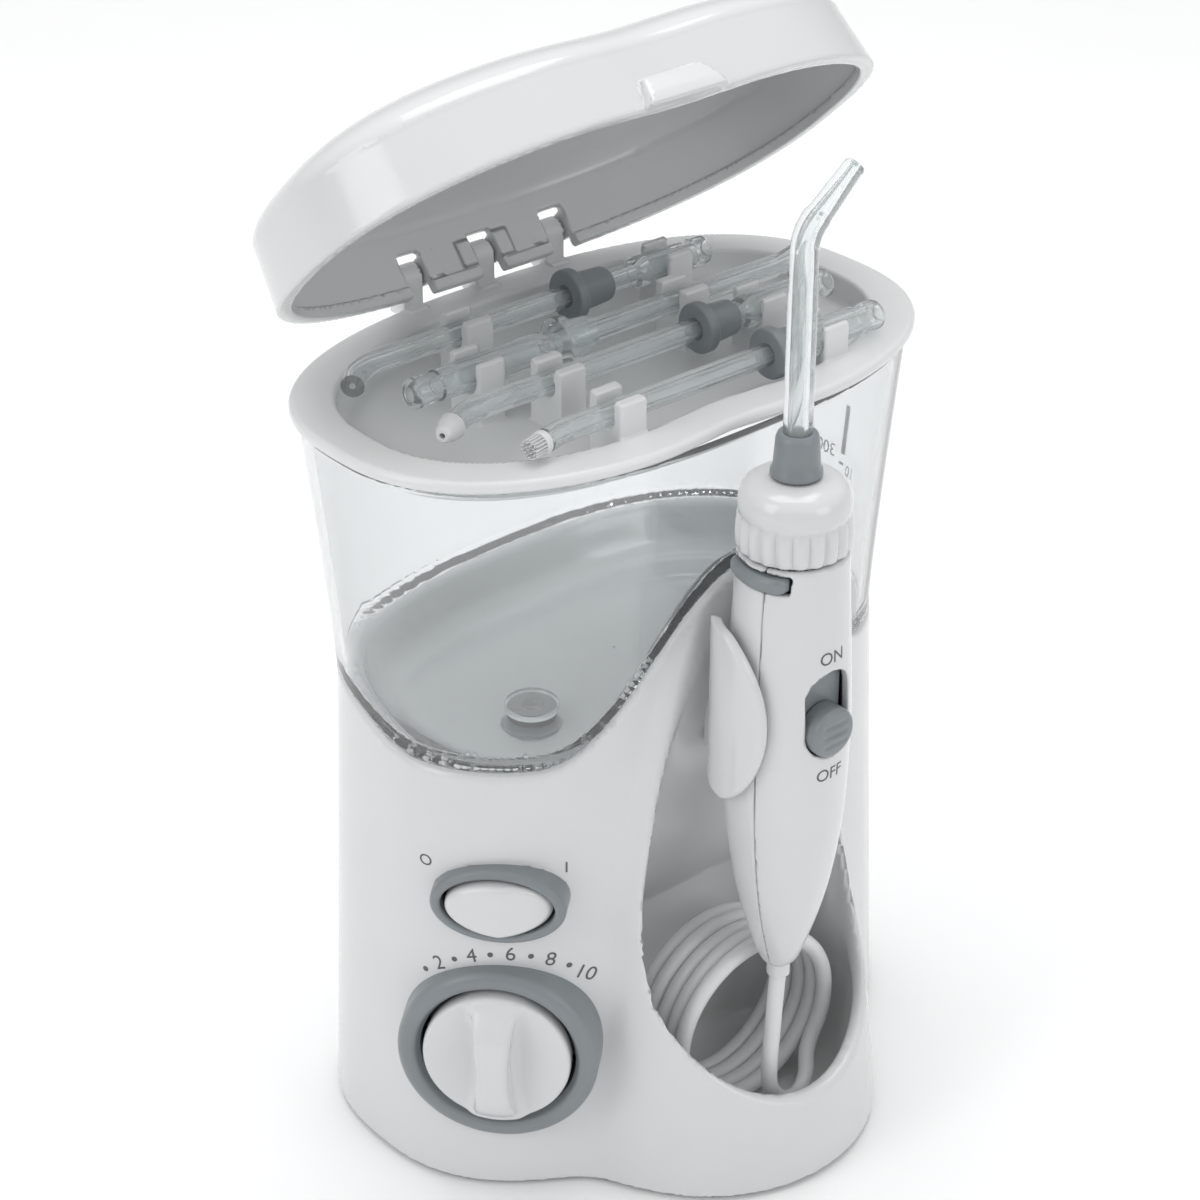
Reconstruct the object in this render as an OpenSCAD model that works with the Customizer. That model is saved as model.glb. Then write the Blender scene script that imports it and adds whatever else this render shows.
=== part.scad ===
// Countertop water flosser: pump base, clear water tank, tip tray with a hinged lid,
// and a handset that stands in a valley at the front with its hose coiled below it.
// Millimetres, +Z up, the front faces -Y. The origin is under the middle of the whole
// object, on the surface that the feet stand on.

/* [Body] */
// Half width of the base where it stands
foot_a = 66.5; // [65:0.5:68]
// Half width of the body at the tank joint
waist_a = 62.3; // [61:0.1:64]
// Half width of the tank at its top
tank_a = 68.5; // [67:0.5:69]
// Half depth of the base where it stands
foot_b = 43; // [42:0.5:44]
// Half depth of the body at the tank joint
waist_b = 39.3; // [38.8:0.1:40]
// Half depth of the tank at its top
tank_b = 42; // [41:0.5:42.5]
// Reach of the front lobe at the foot, from the middle of the tank
lobe_reach = 70.5; // [70:0.5:72]
// Wall of the base housing
shell_t = 2.6; // [2.2:0.1:2.8]

/* [Tank and lid] */
// Wall of the clear tank
tank_t = 2.2; // [1.8:0.1:2.4]
// Half width of the tray rim and of the lid
rim_a = 70; // [69.5:0.5:72]
// Half depth of the tray rim and of the lid
rim_b = 43.5; // [43:0.5:44.5]
// Height of the lid from its rim to the top of its dome
lid_h = 25; // [23:0.5:27]
// Angle at which the lid stands open
lid_open = 43; // [35:1:55]

/* [Handset] */
// Widest radius of the handset
grip_r = 12.8; // [12:0.1:12.9]
// Radius of the clear tube of the fitted tip
tip_r = 2.9; // [2.5:0.1:3]
// Diameter of the hose
hose_d = 3.6; // [3.4:0.2:3.8]

/* [Controls] */
// Radius of the pressure knob
knob_r = 16; // [14:0.5:16.4]
// Outer radius of the ring round the pressure knob
bezel_r = 21.5; // [20:0.5:21.5]
// Half length of the rocker switch
rocker_a = 11.2; // [10:0.2:11.2]

/* [Hidden] */
$fn = 64;

shell_white = "#e4e5e6";
part_grey = "#80878a";
clear_tone = "#cfd6d8";
metal_tone = "#a8aaad";
seal_black = "#3a3c3e";

// The middle of the tank stands this far behind the origin
tank_y = 11.4;

cols = 72;
waist_z = 107;
tank_top = 169;
rim_top = 172;
rim_under = 169.3;
pan_floor = 166;
squareness = 2.5;
lobe_top = 139;
bowl_z = 98;
rim_low = 102.5;
rim_back = 8;
rim_peak = 35;
plate_top = 3.2;

// Front dent of the rim, where the handset stands
dent_depth = 3;
dent_w = 18;

// Valley and hose pocket at the front
valley_w = 28.4;
egg_low = 22;
egg_mid = 50;
egg_top = 140;
pocket_floor = 6;
pocket_back = 22;
pocket_rise = 20.5;
pocket_t = 2.4;

// Pressure knob and rocker: places on the front left face, and the way they face
knob_az = 207.4;
face_az = 222;
knob_z = 36;
rocker_z = 73;
rocker_b = 6.2;
rocker_off = -6;
rocker_pin_z = -1;

// Drive: the motor drives a gear whose eccentric works the pump's piston
drive_z = 40;
motor_x = 36;
motor_r = 16;
pinion_r = 6;
gear_r = 24;
gear_x = motor_x - pinion_r - gear_r - 0.3;
gear_y = -17;
gear_t = 5;
axle_y = -18.8;
pump_y = 4.5;
cam_end = pump_y + 2.4;
throw_e = 4;
cam_r = 6;
rod_len = 28;
piston_r = 7.5;
pump_x0 = -50;
pump_x1 = -20;

// Tank valve and inlet port
valve_x = -30;
valve_y = -10;

// Mains gland at the back
gland_x = 26;
gland_z = 16;
cord_r = 3.3;

// Lid hinge
hinge_y = 44;
hinge_z = 178;
hinge_pin_r = 1.2;
hinge_xs = [-19, 0, 19];
lug_w = 5;
ear_w = 4;

// Handset axis and heights
grip_y = -55.5;
grip_foot = 49;
grip_head = 149.2;
collar_z = 149.6;
collar_h = 15.4;
collar_r = 11.7;
slider_z = 113;
eject_z = 144.6;
cradle_r = 13.6;
cradle_t = 2.4;
cradle_z = 95;
cradle_h = 39;
bracket_w = 16;
bracket_y = -42.3;
bracket_z = 98;
// Handset profile: radius and height, from the hose end up
grip_profile = [
    [2.6, 49], [4.2, 51], [6.3, 57], [8.6, 65], [10.3, 73], [11.6, 82], [12.4, 91],
    [grip_r, 103], [grip_r, 113], [12.4, 124], [11.7, 138], [11.2, grip_head]];

// Hose: coil on its side in the pocket, axis along Y
coil_z = 28.5;
coil_r = 20;
coil_y0 = -50.8;
coil_y1 = -31;
fitting_x = -19;
fitting_z = 21;
drop_route = [
    [0, grip_y, 45.6], [-1, -56, 40], [-2.5, -57, 32], [-4, -58, 25], [-3.5, -58, 18],
    [0.5, -57.5, 12.5], [6.5, -56, 9.6], [11.5, -53.5, 10.6], [14.6, -50.5, 14]];
tail_route = [[-19.8, -33, 31], [-19.9, -32.3, 28], [-19.7, -30.4, 24.6], [-19.3, -27.6, 22], [-19, -24.6, 21]];

// Stored tips: place across the tray, and height of the tube axis over the rim
tip_rows = [19.5, 3, -10, -28.2];
tip_z = 175.5;
tube_r = 2.4;

// ---- Outlines and lofts ------------------------------------------------------

function mix(a, b, t) = a + (b - a) * t;
function unit(t) = max(0, min(1, t));
function ease(t) = t * t * (3 - 2 * t);
function soft_max(a, b, k) = (a + b + sqrt((a - b) * (a - b) + k * k)) / 2;

// Radius of a squared oval at an angle
function oval_r(th, a, b) =
    pow(pow(abs(cos(th)) / a, squareness) + pow(abs(sin(th)) / b, squareness), -1 / squareness);

// Half width and half depth of the main body at a height
function flare(z) = pow(unit((z - waist_z) / (tank_top - waist_z)), 1.2);
function body_a(z) =
    z < waist_z ? mix(foot_a, waist_a, z / waist_z) : mix(waist_a, tank_a, flare(z));
function body_b(z) =
    z < waist_z ? mix(foot_b, waist_b, z / waist_z) : mix(waist_b, tank_b, flare(z));
function tank_r(th, z) = oval_r(th, body_a(z), body_b(z));

// The front lobe: a circle whose reach and radius shrink with height
function lobe_y(z) = lobe_reach - 30 * pow(unit(z / lobe_top), 1.675);
function lobe_size(z) = mix(37, 23, unit(z / lobe_top));
function lobe_r(th, z) =
    let (r = lobe_size(z), c = lobe_y(z) - r, u = -sin(th), q = r * r - c * c * (1 - u * u))
    q > 0 ? max(0, c * u + sqrt(q)) : 0;
function body_r(th, z) =
    soft_max(tank_r(th, z), lobe_r(th, z), 0.5 + 7.5 * (1 - unit(z / lobe_top)));

// Height of the joint between base and tank round the body: low at the front sides,
// higher behind, with a peak at the front over the valley
function rim_z(th) =
    let (r = oval_r(th, waist_a, waist_b), x = r * cos(th), y = r * sin(th))
    rim_low + rim_back * ease(unit((y + 12) / 34))
    + (y < 0 ? rim_peak * (1 + cos(180 * min(1, abs(x) / 46))) / 2 : 0);

function ring(r, th, z) = [r * cos(th), r * sin(th), z];
function angles(n) = [for (i = [0 : n - 1]) 360 * i / n];

// Outline of the rim and lid, with its front dent
function rim_points(inset) = [
    for (th = angles(cols))
        let (r = oval_r(th, rim_a - inset, rim_b - inset), x = r * cos(th))
        [x, r * sin(th) + (sin(th) < 0 ? dent_depth * exp(-pow(x / dent_w, 2)) : 0)]];

function ellipse(a, b, n = 48) = [for (th = angles(n)) [a * cos(th), b * sin(th)]];

// Skin over a stack of rings of equal length, closed by a flat cap at each end
module skin(rings) {
    n = len(rings[0]);
    m = len(rings);
    sides = [
        for (k = [0 : m - 2], i = [0 : n - 1])
            let (j = (i + 1) % n)
            each [[k * n + i, (k + 1) * n + j, k * n + j], [k * n + i, (k + 1) * n + i, (k + 1) * n + j]]];
    bottom = [[for (i = [0 : n - 1]) i]];
    top = [[for (i = [n - 1 : -1 : 0]) (m - 1) * n + i]];
    polyhedron([for (r = rings) each r], concat(sides, bottom, top));
}

// One mesh from a boolean of skins
module one_mesh() resize([0, 0, 0]) children();

// Everything is drawn about the middle of the tank and moved to the part's origin here
module place() translate([0, tank_y, 0]) children();

// Local frame on the front left face: +Z points out of the face, +Y points up
module on_face(z, out = 0) {
    r = body_r(knob_az, z);
    translate([r * cos(knob_az), r * sin(knob_az), z])
        rotate([90, 0, face_az + 90])
        translate([0, 0, out]) children();
}

// Tube swept along a route
function along(p, i) =
    let (a = p[max(0, i - 1)], b = p[min(len(p) - 1, i + 1)], d = b - a) d / norm(d);
function sweep_ring(c, d, r, n) =
    let (u0 = cross(d, abs(d[1]) < 0.8 ? [0, 1, 0] : [1, 0, 0]), u = u0 / norm(u0), v = cross(d, u))
    [for (t = angles(n)) c + r * (cos(t) * u + sin(t) * v)];
module swept(route, r, n = 10) {
    skin([for (i = [0 : len(route) - 1]) sweep_ring(route[i], along(route, i), r, n)]);
}

// ---- Base --------------------------------------------------------------------

module base_outer() {
    steps = 14;
    outer = [
        for (k = [0 : steps])
            [for (th = angles(cols)) let (z = mix(1, rim_z(th), k / steps)) ring(body_r(th, z), th, z)]];
    lip = [for (th = angles(cols)) ring(tank_r(th, rim_z(th)) - 3.5, th, rim_z(th))];
    well = [
        for (t = [0.5, 1])
            [for (th = angles(cols)) ring(tank_r(th, bowl_z) - mix(4.5, 8, t), th, mix(rim_z(th), bowl_z, t))]];
    skin(concat(outer, [lip], well));
}

module base_inside() {
    skin([
        for (z = [-1, 30, 60, bowl_z - shell_t])
            [for (th = angles(cols)) ring(body_r(th, max(0, z)) - shell_t, th, z)]]);
}

function egg_w(z) =
    z < egg_mid
    ? valley_w * sqrt(unit(1 - pow((egg_mid - z) / (egg_mid - egg_low), 2)))
    : valley_w * pow(unit(1 - pow((z - egg_mid) / (egg_top - egg_mid), 2)), 0.8);
function pocket_w(z) =
    z < 30 ? valley_w * pow(unit((z - 3) / 27), 0.12)
    : z < egg_mid ? valley_w
    : egg_w(z) - 0.5 * unit((z - egg_mid) / 10);
function back_y(z) = -pocket_back - pocket_rise * sin(90 * unit((z - 50) / 85));

// Hollow behind the front lip, from the pocket floor up the valley, grown by g all round
module pocket(g) {
    zs = [6, 8, 12, 20, 30, 40, 50, 60, 70, 80, 90, 100, 110, 120, 128, 134, 138];
    skin([
        for (z = zs)
            let (w = pocket_w(z) + g, b = back_y(z) + g, f = min(-lobe_y(z) + 4, back_y(z) - 3) - g,
                 c = (b + f) / 2, d = (b - f) / 2)
            [for (t = angles(40))
                let (n = sin(t) < 0 ? 2 : 4, s = sin(t) < 0 ? -1 : 1, e = cos(t) < 0 ? -1 : 1)
                [e * w * pow(abs(cos(t)), 2 / n), c + s * d * pow(abs(sin(t)), 2 / n),
                 z == pocket_floor ? z - g : z]]]);
}

// Egg-shaped mouth of the valley, cut through the front
module valley_mouth() {
    zs = [for (k = [0 : 24]) egg_low + (egg_top - egg_low) * (1 - cos(180 * k / 24)) / 2];
    right = [for (z = zs) [egg_w(z), z]];
    left = [for (k = [len(zs) - 2 : -1 : 1]) [-egg_w(zs[k]), zs[k]]];
    translate([0, -42.5, 0]) rotate([90, 0, 0]) linear_extrude(50) polygon(concat(right, left));
}

screw_at = [[42, -32], [-42, -32], [38.5, 32.5], [-38.5, 32.5]];

module housing_body() {
    difference() {
        union() {
            difference() {
                base_outer();
                base_inside();
            }
            intersection() {
                base_outer();
                pocket(pocket_t);
            }
            intersection() {
                base_outer();
                for (p = screw_at) translate([p[0], p[1], plate_top]) cylinder(r = 4.5, h = 9);
            }
        }
        pocket(0);
        valley_mouth();
        for (p = screw_at) translate([p[0], p[1], 0]) cylinder(r = 1.5, h = 11);
        on_face(knob_z, -12) cylinder(r = bezel_r + 0.1, h = 30);
        on_face(rocker_z, -12) linear_extrude(30) polygon(ellipse(rocker_a + 3.1, rocker_b + 3));
        translate([valve_x, valve_y, 90]) cylinder(r = 6.1, h = 20);
        translate([fitting_x, -10, fitting_z]) rotate([90, 0, 0]) cylinder(r = 3.1, h = 20);
        translate([gland_x, 50, gland_z]) rotate([90, 0, 0]) cylinder(r = 6.1, h = 30);
    }
}

module base_housing() color(shell_white) place() one_mesh() housing_body();

module bottom_plate() color(shell_white) place() difference() {
    translate([0, 0, 1])
        linear_extrude(plate_top - 1)
        polygon([for (th = angles(cols)) let (r = body_r(th, 2) - shell_t - 0.3) [r * cos(th), r * sin(th)]]);
    for (p = screw_at) {
        translate([p[0], p[1], 0]) cylinder(r = 1.7, h = 9);
        translate([p[0], p[1], 0]) cylinder(r = 3.2, h = 2.2);
    }
}

module feet() color(seal_black) place()
    for (x = [-44, 44], y = [-20, 20]) translate([x, y, 0]) cylinder(r = 6, h = 1);

module base_screws() color(metal_tone) place()
    for (p = screw_at) translate([p[0], p[1], 0.95]) {
        cylinder(r = 3, h = 1.25);
        cylinder(r = 1.45, h = 9.5);
    }

// Inlet for the mains cord: a flanged bush with a true bore
module power_gland() color(part_grey) place() translate([gland_x, 34, gland_z]) rotate([-90, 0, 0]) {
    difference() {
        union() {
            cylinder(r = 6, h = 9);
            translate([0, 0, -2]) cylinder(r = 8, h = 2.2);
        }
        translate([0, 0, -3]) cylinder(r = cord_r, h = 14);
    }
}

// ---- Handset holder ------------------------------------------------------------

module holder_bracket() color(shell_white) place() {
    translate([-bracket_w / 2, bracket_y, bracket_z]) cube([bracket_w, 3.5, 26]);
}

module wing_sector(r0, r1, a0, a1) {
    polygon(concat(
        [for (i = [0 : 24]) let (t = mix(a0, a1, i / 24)) [r0 * cos(t), r0 * sin(t)]],
        [for (i = [24 : -1 : 0]) let (t = mix(a0, a1, i / 24)) [r1 * cos(t), r1 * sin(t)]]));
}

module holder_cradle() color(shell_white) place() translate([0, grip_y, cradle_z])
    difference() {
        linear_extrude(cradle_h) wing_sector(cradle_r, cradle_r + cradle_t, -5, 208);
        // the back ends low, clear of the valley wall, and leaves room for the bracket
        translate([-11.5, 8.5, 9]) cube([23, 9, cradle_h]);
        translate([-bracket_w / 2 - 0.05, bracket_y - grip_y - 0.05, bracket_z - cradle_z - 0.05])
            cube([bracket_w + 0.1, 6, 10]);
        // rounded corners of the left wing
        for (z = [0, cradle_h])
            translate([-20, -13, z]) rotate([0, 90, 0]) cylinder(r = 9, h = 14);
    }

// ---- Controls ------------------------------------------------------------------

module knob_bezel() color(part_grey) place() on_face(knob_z)
    rotate_extrude() polygon(concat(
        [[knob_r + 0.6, -8], [bezel_r, -8]],
        [for (t = [0 : 15 : 90]) [bezel_r - 2 + 2 * cos(t), 1 + 2 * sin(t)]],
        [[knob_r + 1.6, 2.6], [knob_r + 0.6, 1.6]]));

module knob() color(shell_white) place() on_face(knob_z) union() {
    translate([0, 0, -1]) cylinder(r = knob_r, h = 4.5);
    translate([0, 0, 3.5]) difference() {
        intersection() {
            translate([-3.2, -knob_r + 0.6, 0]) cube([6.4, 2 * knob_r - 1.2, 7]);
            translate([0, 0, -12.6]) sphere(r = 20);
        }
        for (s = [-1, 1]) translate([s * 9.2, -20, 6]) rotate([-90, 0, 0]) cylinder(r = 7, h = 40);
    }
    translate([0, 0, -9]) cylinder(r = 3, h = 8.2);
}

module regulator_body() color(part_grey) place() on_face(knob_z, -19) difference() {
    union() {
        cylinder(r = 9, h = 11);
        translate([0, 0, 6]) cylinder(r = knob_r + 0.5, h = 3);
    }
    translate([0, 0, 5]) cylinder(r = 3.05, h = 12);
}

module rocker_bezel() color(part_grey) place() on_face(rocker_z, -5) difference() {
    union() {
        linear_extrude(7) polygon(ellipse(rocker_a + 3, rocker_b + 2.9));
        linear_extrude(7.8) polygon(ellipse(rocker_a + 2.2, rocker_b + 2.1));
    }
    translate([0, 0, -1]) linear_extrude(12) polygon(ellipse(rocker_a + 0.7, rocker_b + 0.6));
}

// The rocker tilts about its pivot, a pin across its short side
module rocker() color(shell_white) place()
    on_face(rocker_z, rocker_pin_z) rotate([0, rocker_off, 0]) translate([0, 0, -rocker_pin_z]) {
        intersection() {
            translate([0, 0, -3]) linear_extrude(8) polygon(ellipse(rocker_a, rocker_b));
            translate([0, 20, -34]) rotate([90, 0, 0]) cylinder(r = 38.5, h = 40, $fn = 96);
        }
        translate([0, rocker_b + 0.4, rocker_pin_z]) rotate([90, 0, 0]) cylinder(r = 1.2, h = 2 * rocker_b + 0.8);
    }

module switch_body() color(seal_black) place() on_face(rocker_z, -20) difference() {
    translate([-9, -7, 0]) cube([18, 14, 14]);
    translate([-8, -5.2, 11]) cube([16, 10.4, 4]);
}

// ---- Drive and pump --------------------------------------------------------------

module along_y(x, y, z) translate([x, y, z]) rotate([-90, 0, 0]) children();
module along_x(x, y, z) translate([x, y, z]) rotate([0, 90, 0]) children();

module motor() color(metal_tone) place() difference() {
    union() {
        along_y(motor_x, -6, drive_z) cylinder(r = motor_r, h = 28);
        along_y(motor_x, 22, drive_z) cylinder(r = 6, h = 2.5);
    }
    along_y(motor_x, -7, drive_z) cylinder(r = 1.55, h = 20);
}

module motor_bracket() color(metal_tone) place() difference() {
    translate([motor_x - 17, 0, plate_top]) cube([35, 14, drive_z - plate_top]);
    along_y(motor_x, -1, drive_z) cylinder(r = motor_r, h = 16);
    translate([motor_x - 14, -1, 8]) cube([28, 16, 12]);
}

// Gear outline: straight-sided teeth, centred on the start angle
function gear_points(teeth, root, tip, w0, w1, start) = [
    for (i = [0 : teeth - 1], k = [0 : 3])
        let (r = (k == 1 || k == 2) ? tip : root, w = (k == 1 || k == 2) ? w1 : w0,
             t = start + 360 * i / teeth + (k < 2 ? -1 : 1) * w / 2 / r * 180 / PI)
        [r * cos(t), r * sin(t)]];

module motor_pinion() color(metal_tone) place() union() {
    along_y(motor_x, gear_y, drive_z)
        linear_extrude(gear_t) polygon(gear_points(10, pinion_r - 1.3, pinion_r + 0.8, 1.5, 0.6, 18));
    along_y(motor_x, gear_y + gear_t - 0.5, drive_z) cylinder(r = 1.5, h = 19);
}

module drive_gear() color(shell_white) place() along_y(gear_x, gear_y, drive_z) difference() {
    union() {
        linear_extrude(gear_t) polygon(gear_points(40, gear_r - 1.4, gear_r + 0.8, 1.6, 0.7, 0));
        translate([-throw_e, 0, 0]) cylinder(r = cam_r, h = cam_end - gear_y);
    }
    translate([0, 0, -1]) cylinder(r = 2.05, h = 30);
    for (i = [0 : 5]) rotate(60 * i + 30) translate([15, 0, -1]) cylinder(r = 4, h = gear_t + 2);
}

module gear_axle() color(metal_tone) place() along_y(gear_x, axle_y, drive_z) union() {
    cylinder(r = 2, h = cam_end + 4.2 - axle_y);
    translate([0, 0, cam_end + 1.2 - axle_y]) cylinder(r = 5, h = 3);
    translate([-4, 0, cam_end + 1.2 - axle_y]) cube([8, drive_z - plate_top, 3]);
}

module connecting_rod() color(shell_white) place() difference() {
    union() {
        along_y(gear_x - throw_e, pump_y - 2, drive_z) cylinder(r = cam_r + 2.6, h = 4);
        translate([gear_x - throw_e - rod_len, pump_y - 2, drive_z - 1.9]) cube([rod_len - 6, 4, 3.8]);
        along_y(gear_x - throw_e - rod_len, pump_y - 2, drive_z) cylinder(r = 1.9, h = 4);
    }
    along_y(gear_x - throw_e, pump_y - 3, drive_z) cylinder(r = cam_r + 0.05, h = 6);
}

piston_x0 = gear_x - throw_e - rod_len - 13.5;
module piston() color(part_grey) place() along_x(piston_x0, pump_y, drive_z) difference() {
    cylinder(r = piston_r, h = 17.5);
    translate([0, 0, 3]) cylinder(r = piston_r - 1.2, h = 16);
}

module pump_body() color(metal_tone) place() difference() {
    union() {
        along_x(pump_x0, pump_y, drive_z) cylinder(r = 10.5, h = pump_x1 - pump_x0);
        translate([pump_x0, pump_y - 8, plate_top]) cube([12, 16, drive_z - plate_top]);
    }
    along_x(pump_x0 - 1, pump_y, drive_z) cylinder(r = piston_r + 0.05, h = pump_x1 - pump_x0 + 2);
}

module pump_head() color(part_grey) place() difference() {
    translate([pump_x0 - 6, pump_y - 9, drive_z - 11]) cube([6, 18, 22]);
    translate([pump_x0 - 3, pump_y, drive_z + 4]) cylinder(r = 2, h = 8);
    translate([pump_x0 - 3, pump_y, drive_z - 12]) cylinder(r = 2, h = 8);
}

// Port in the tank well that opens the tank's valve
module inlet_port() color(part_grey) place() translate([valve_x, valve_y, 0]) difference() {
    union() {
        translate([0, 0, 93]) cylinder(r = 6, h = 5.3);
        translate([0, 0, 92]) cylinder(r = 8, h = 3.3);
    }
    translate([0, 0, 90]) cylinder(r = 2.5, h = 9);
}

inlet_x = pump_x0 - 3;
module inlet_tube() color(clear_tone) place() {
    translate([inlet_x, pump_y, drive_z + 11]) cylinder(r = 2.6, h = 34);
    translate([inlet_x, pump_y, drive_z + 45]) sphere(r = 2.6);
    along_x(inlet_x, pump_y, drive_z + 45) cylinder(r = 2.6, h = valve_x - inlet_x);
    translate([valve_x, pump_y, drive_z + 45]) sphere(r = 2.6);
    translate([valve_x, pump_y, drive_z + 45]) rotate([90, 0, 0]) cylinder(r = 2.6, h = pump_y - valve_y);
    translate([valve_x, valve_y, drive_z + 45]) sphere(r = 2.6);
    translate([valve_x, valve_y, drive_z + 45]) cylinder(r = 2.4, h = 7);
}

outlet_z = 12;
outlet_y = -13;
module outlet_tube() color(clear_tone) place() {
    translate([inlet_x, pump_y, outlet_z]) cylinder(r = 2.6, h = drive_z - 11 - outlet_z);
    translate([inlet_x, pump_y, outlet_z]) sphere(r = 2.6);
    translate([inlet_x, pump_y, outlet_z]) rotate([90, 0, 0]) cylinder(r = 2.6, h = pump_y - outlet_y);
    translate([inlet_x, outlet_y, outlet_z]) sphere(r = 2.6);
    along_x(inlet_x, outlet_y, outlet_z) cylinder(r = 2.6, h = fitting_x - inlet_x);
    translate([fitting_x, outlet_y, outlet_z]) sphere(r = 2.6);
    translate([fitting_x, outlet_y, outlet_z]) cylinder(r = 2.6, h = fitting_z - outlet_z - 5);
}

module hose_fitting() color(part_grey) place() translate([fitting_x, 0, fitting_z]) rotate([90, 0, 0]) {
    translate([0, 0, 17]) cylinder(r = 3, h = 7.2);
    translate([0, 0, 9]) cylinder(r = 5, h = 8.2);
}

module circuit_board() color("#5f7a63") place() union() {
    translate([-34, 27, 14]) cube([44, 1.6, 42]);
    translate([-28, 18, 18]) cube([12, 9, 14]);
    translate([-8, 20, 36]) cube([10, 7, 10]);
    along_y(-24, 21, 46) cylinder(r = 5, h = 6);
}

// ---- Tank --------------------------------------------------------------------------

function tank_ring(inset, zf) = [
    for (th = angles(cols))
        let (z = zf[0] * rim_z(th) + zf[1]) ring(tank_r(th, z) - inset, th, z)];
function wall_rings(inset, z0, z1, steps) = [
    for (k = [0 : steps])
        [for (th = angles(cols)) let (z = mix(rim_z(th) + z0, z1, k / steps)) ring(tank_r(th, z) - inset, th, z)]];

// The tank's lower part nests in the base's well, and a shoulder follows the joint line
module tank_solid() {
    outside = concat(
        [tank_ring(11.5, [0, bowl_z + 0.6]), tank_ring(9.2, [0, bowl_z + 1.4]), tank_ring(4.3, [1, 0.35])],
        wall_rings(0, 0.6, tank_top, 7));
    inside = concat(
        [for (k = [6 : -1 : 0]) wall_rings(tank_t, 4, tank_top, 6)[k]],
        [tank_ring(6.8, [1, 1.4]), tank_ring(12.5, [0, bowl_z + 3])]);
    skin(concat(outside, inside));
}

module tank() color(clear_tone, 0.5) place() one_mesh() difference() {
    tank_solid();
    translate([valve_x, valve_y, bowl_z - 5]) cylinder(r = 3.4, h = 20);
}

module tank_valve() color(shell_white) place() translate([valve_x, valve_y, 0]) {
    translate([0, 0, bowl_z + 0.7]) cylinder(r = 2.2, h = 5);
    translate([0, 0, bowl_z + 4.7]) cylinder(r = 5.6, h = 1.6);
}

module valve_seal() color(seal_black) place() translate([valve_x, valve_y, bowl_z + 3.05]) difference() {
    cylinder(r = 5.2, h = 1.5);
    translate([0, 0, -1]) cylinder(r = 2.5, h = 4);
}

// ---- Tray, stored tips and lid ---------------------------------------------------------

// Clip block with a round cradle for one tube, open at the top
module clip(x, y, r) difference() {
    translate([x - 2.5, y - 5, pan_floor - 0.5]) cube([5, 10, tip_z - pan_floor + 2.2]);
    along_x(x - 4, y, tip_z) cylinder(r = r, h = 8);
    translate([x - 4, y - r, tip_z]) cube([8, 2 * r, 8]);
}

tube_clip_x = -22;
base_clip_x = 32;
clip_r = tube_r + 0.3;
base_clip_r = 3.8;

module tray() color(shell_white) place() union() {
    difference() {
        union() {
            translate([0, 0, rim_under]) linear_extrude(rim_top - rim_under) polygon(rim_points(0));
            translate([0, 0, pan_floor - 1.6]) linear_extrude(4) polygon(rim_points(7));
        }
        translate([0, 0, pan_floor]) linear_extrude(20) polygon(rim_points(9));
        // drain openings at the front left and the rear right
        translate([-50, -17, 150]) linear_extrude(30) rotate(-35) polygon(ellipse(7, 2.4));
        translate([50, 19, 150]) linear_extrude(30) rotate(-35) polygon(ellipse(5, 1.6));
    }
    for (k = [0 : 3]) {
        flip = k == 1 ? -1 : 1;
        clip(flip * tube_clip_x, tip_rows[k], clip_r);
        clip(flip * base_clip_x, tip_rows[k], base_clip_r);
    }
    for (x = hinge_xs) difference() {
        union() {
            along_x(x - lug_w / 2, hinge_y, hinge_z) cylinder(r = 2.9, h = lug_w);
            translate([x - lug_w / 2, hinge_y - 2.9, rim_top - 1]) cube([lug_w, 5.8, hinge_z - rim_top + 1]);
            translate([x - lug_w / 2, 39, rim_top - 2]) cube([lug_w, 7.9, 2.5]);
        }
        along_x(x - 5, hinge_y, hinge_z) cylinder(r = hinge_pin_r + 0.05, h = 10);
    }
}

module hinge_pins() color(metal_tone) place()
    for (x = hinge_xs) along_x(x - 6.2, hinge_y, hinge_z) cylinder(r = hinge_pin_r, h = 12.4);

function lid_ring(inset, z) = [for (p = rim_points(inset)) [p[0], p[1], z]];

// The lid as it lies when closed, and turned about the hinge to its open rest
lid_base = rim_top + 0.3;
lid_wall = 2;
module lid_shell() {
    outside = concat(
        [for (k = [0 : 4]) lid_ring(0.3 + 0.35 * k, lid_base + 3.3 * k)],
        [for (t = [20, 40, 60, 80])
            lid_ring(mix(1.7, 40, 1 - cos(t)), lid_base + 13.2 + (lid_h - 13.2) * sin(t))]);
    inside = concat(
        [for (t = [80, 60, 40, 20])
            lid_ring(mix(1.7, 40, 1 - cos(t)) + lid_wall, lid_base + 13.2 + (lid_h - 15.2) * sin(t))],
        [for (k = [4 : -1 : 0]) lid_ring(0.3 + 0.35 * k + lid_wall, lid_base + 3.3 * k)]);
    difference() {
        skin(outside);
        skin([for (k = [len(inside) - 1 : -1 : 0]) [for (p = inside[k]) [p[0], p[1], k == len(inside) - 1 ? p[2] - 1 : p[2]]]]);
    }
}

module lid_ears() {
    for (x = hinge_xs, s = [-1, 1])
        along_x(x + s * (lug_w / 2 + 0.4 + ear_w / 2) - ear_w / 2, hinge_y, hinge_z) {
            cylinder(r = 2.9, h = ear_w);
            translate([-2.9, -4, 0]) cube([5.8, 4, ear_w]);
        }
}

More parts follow.
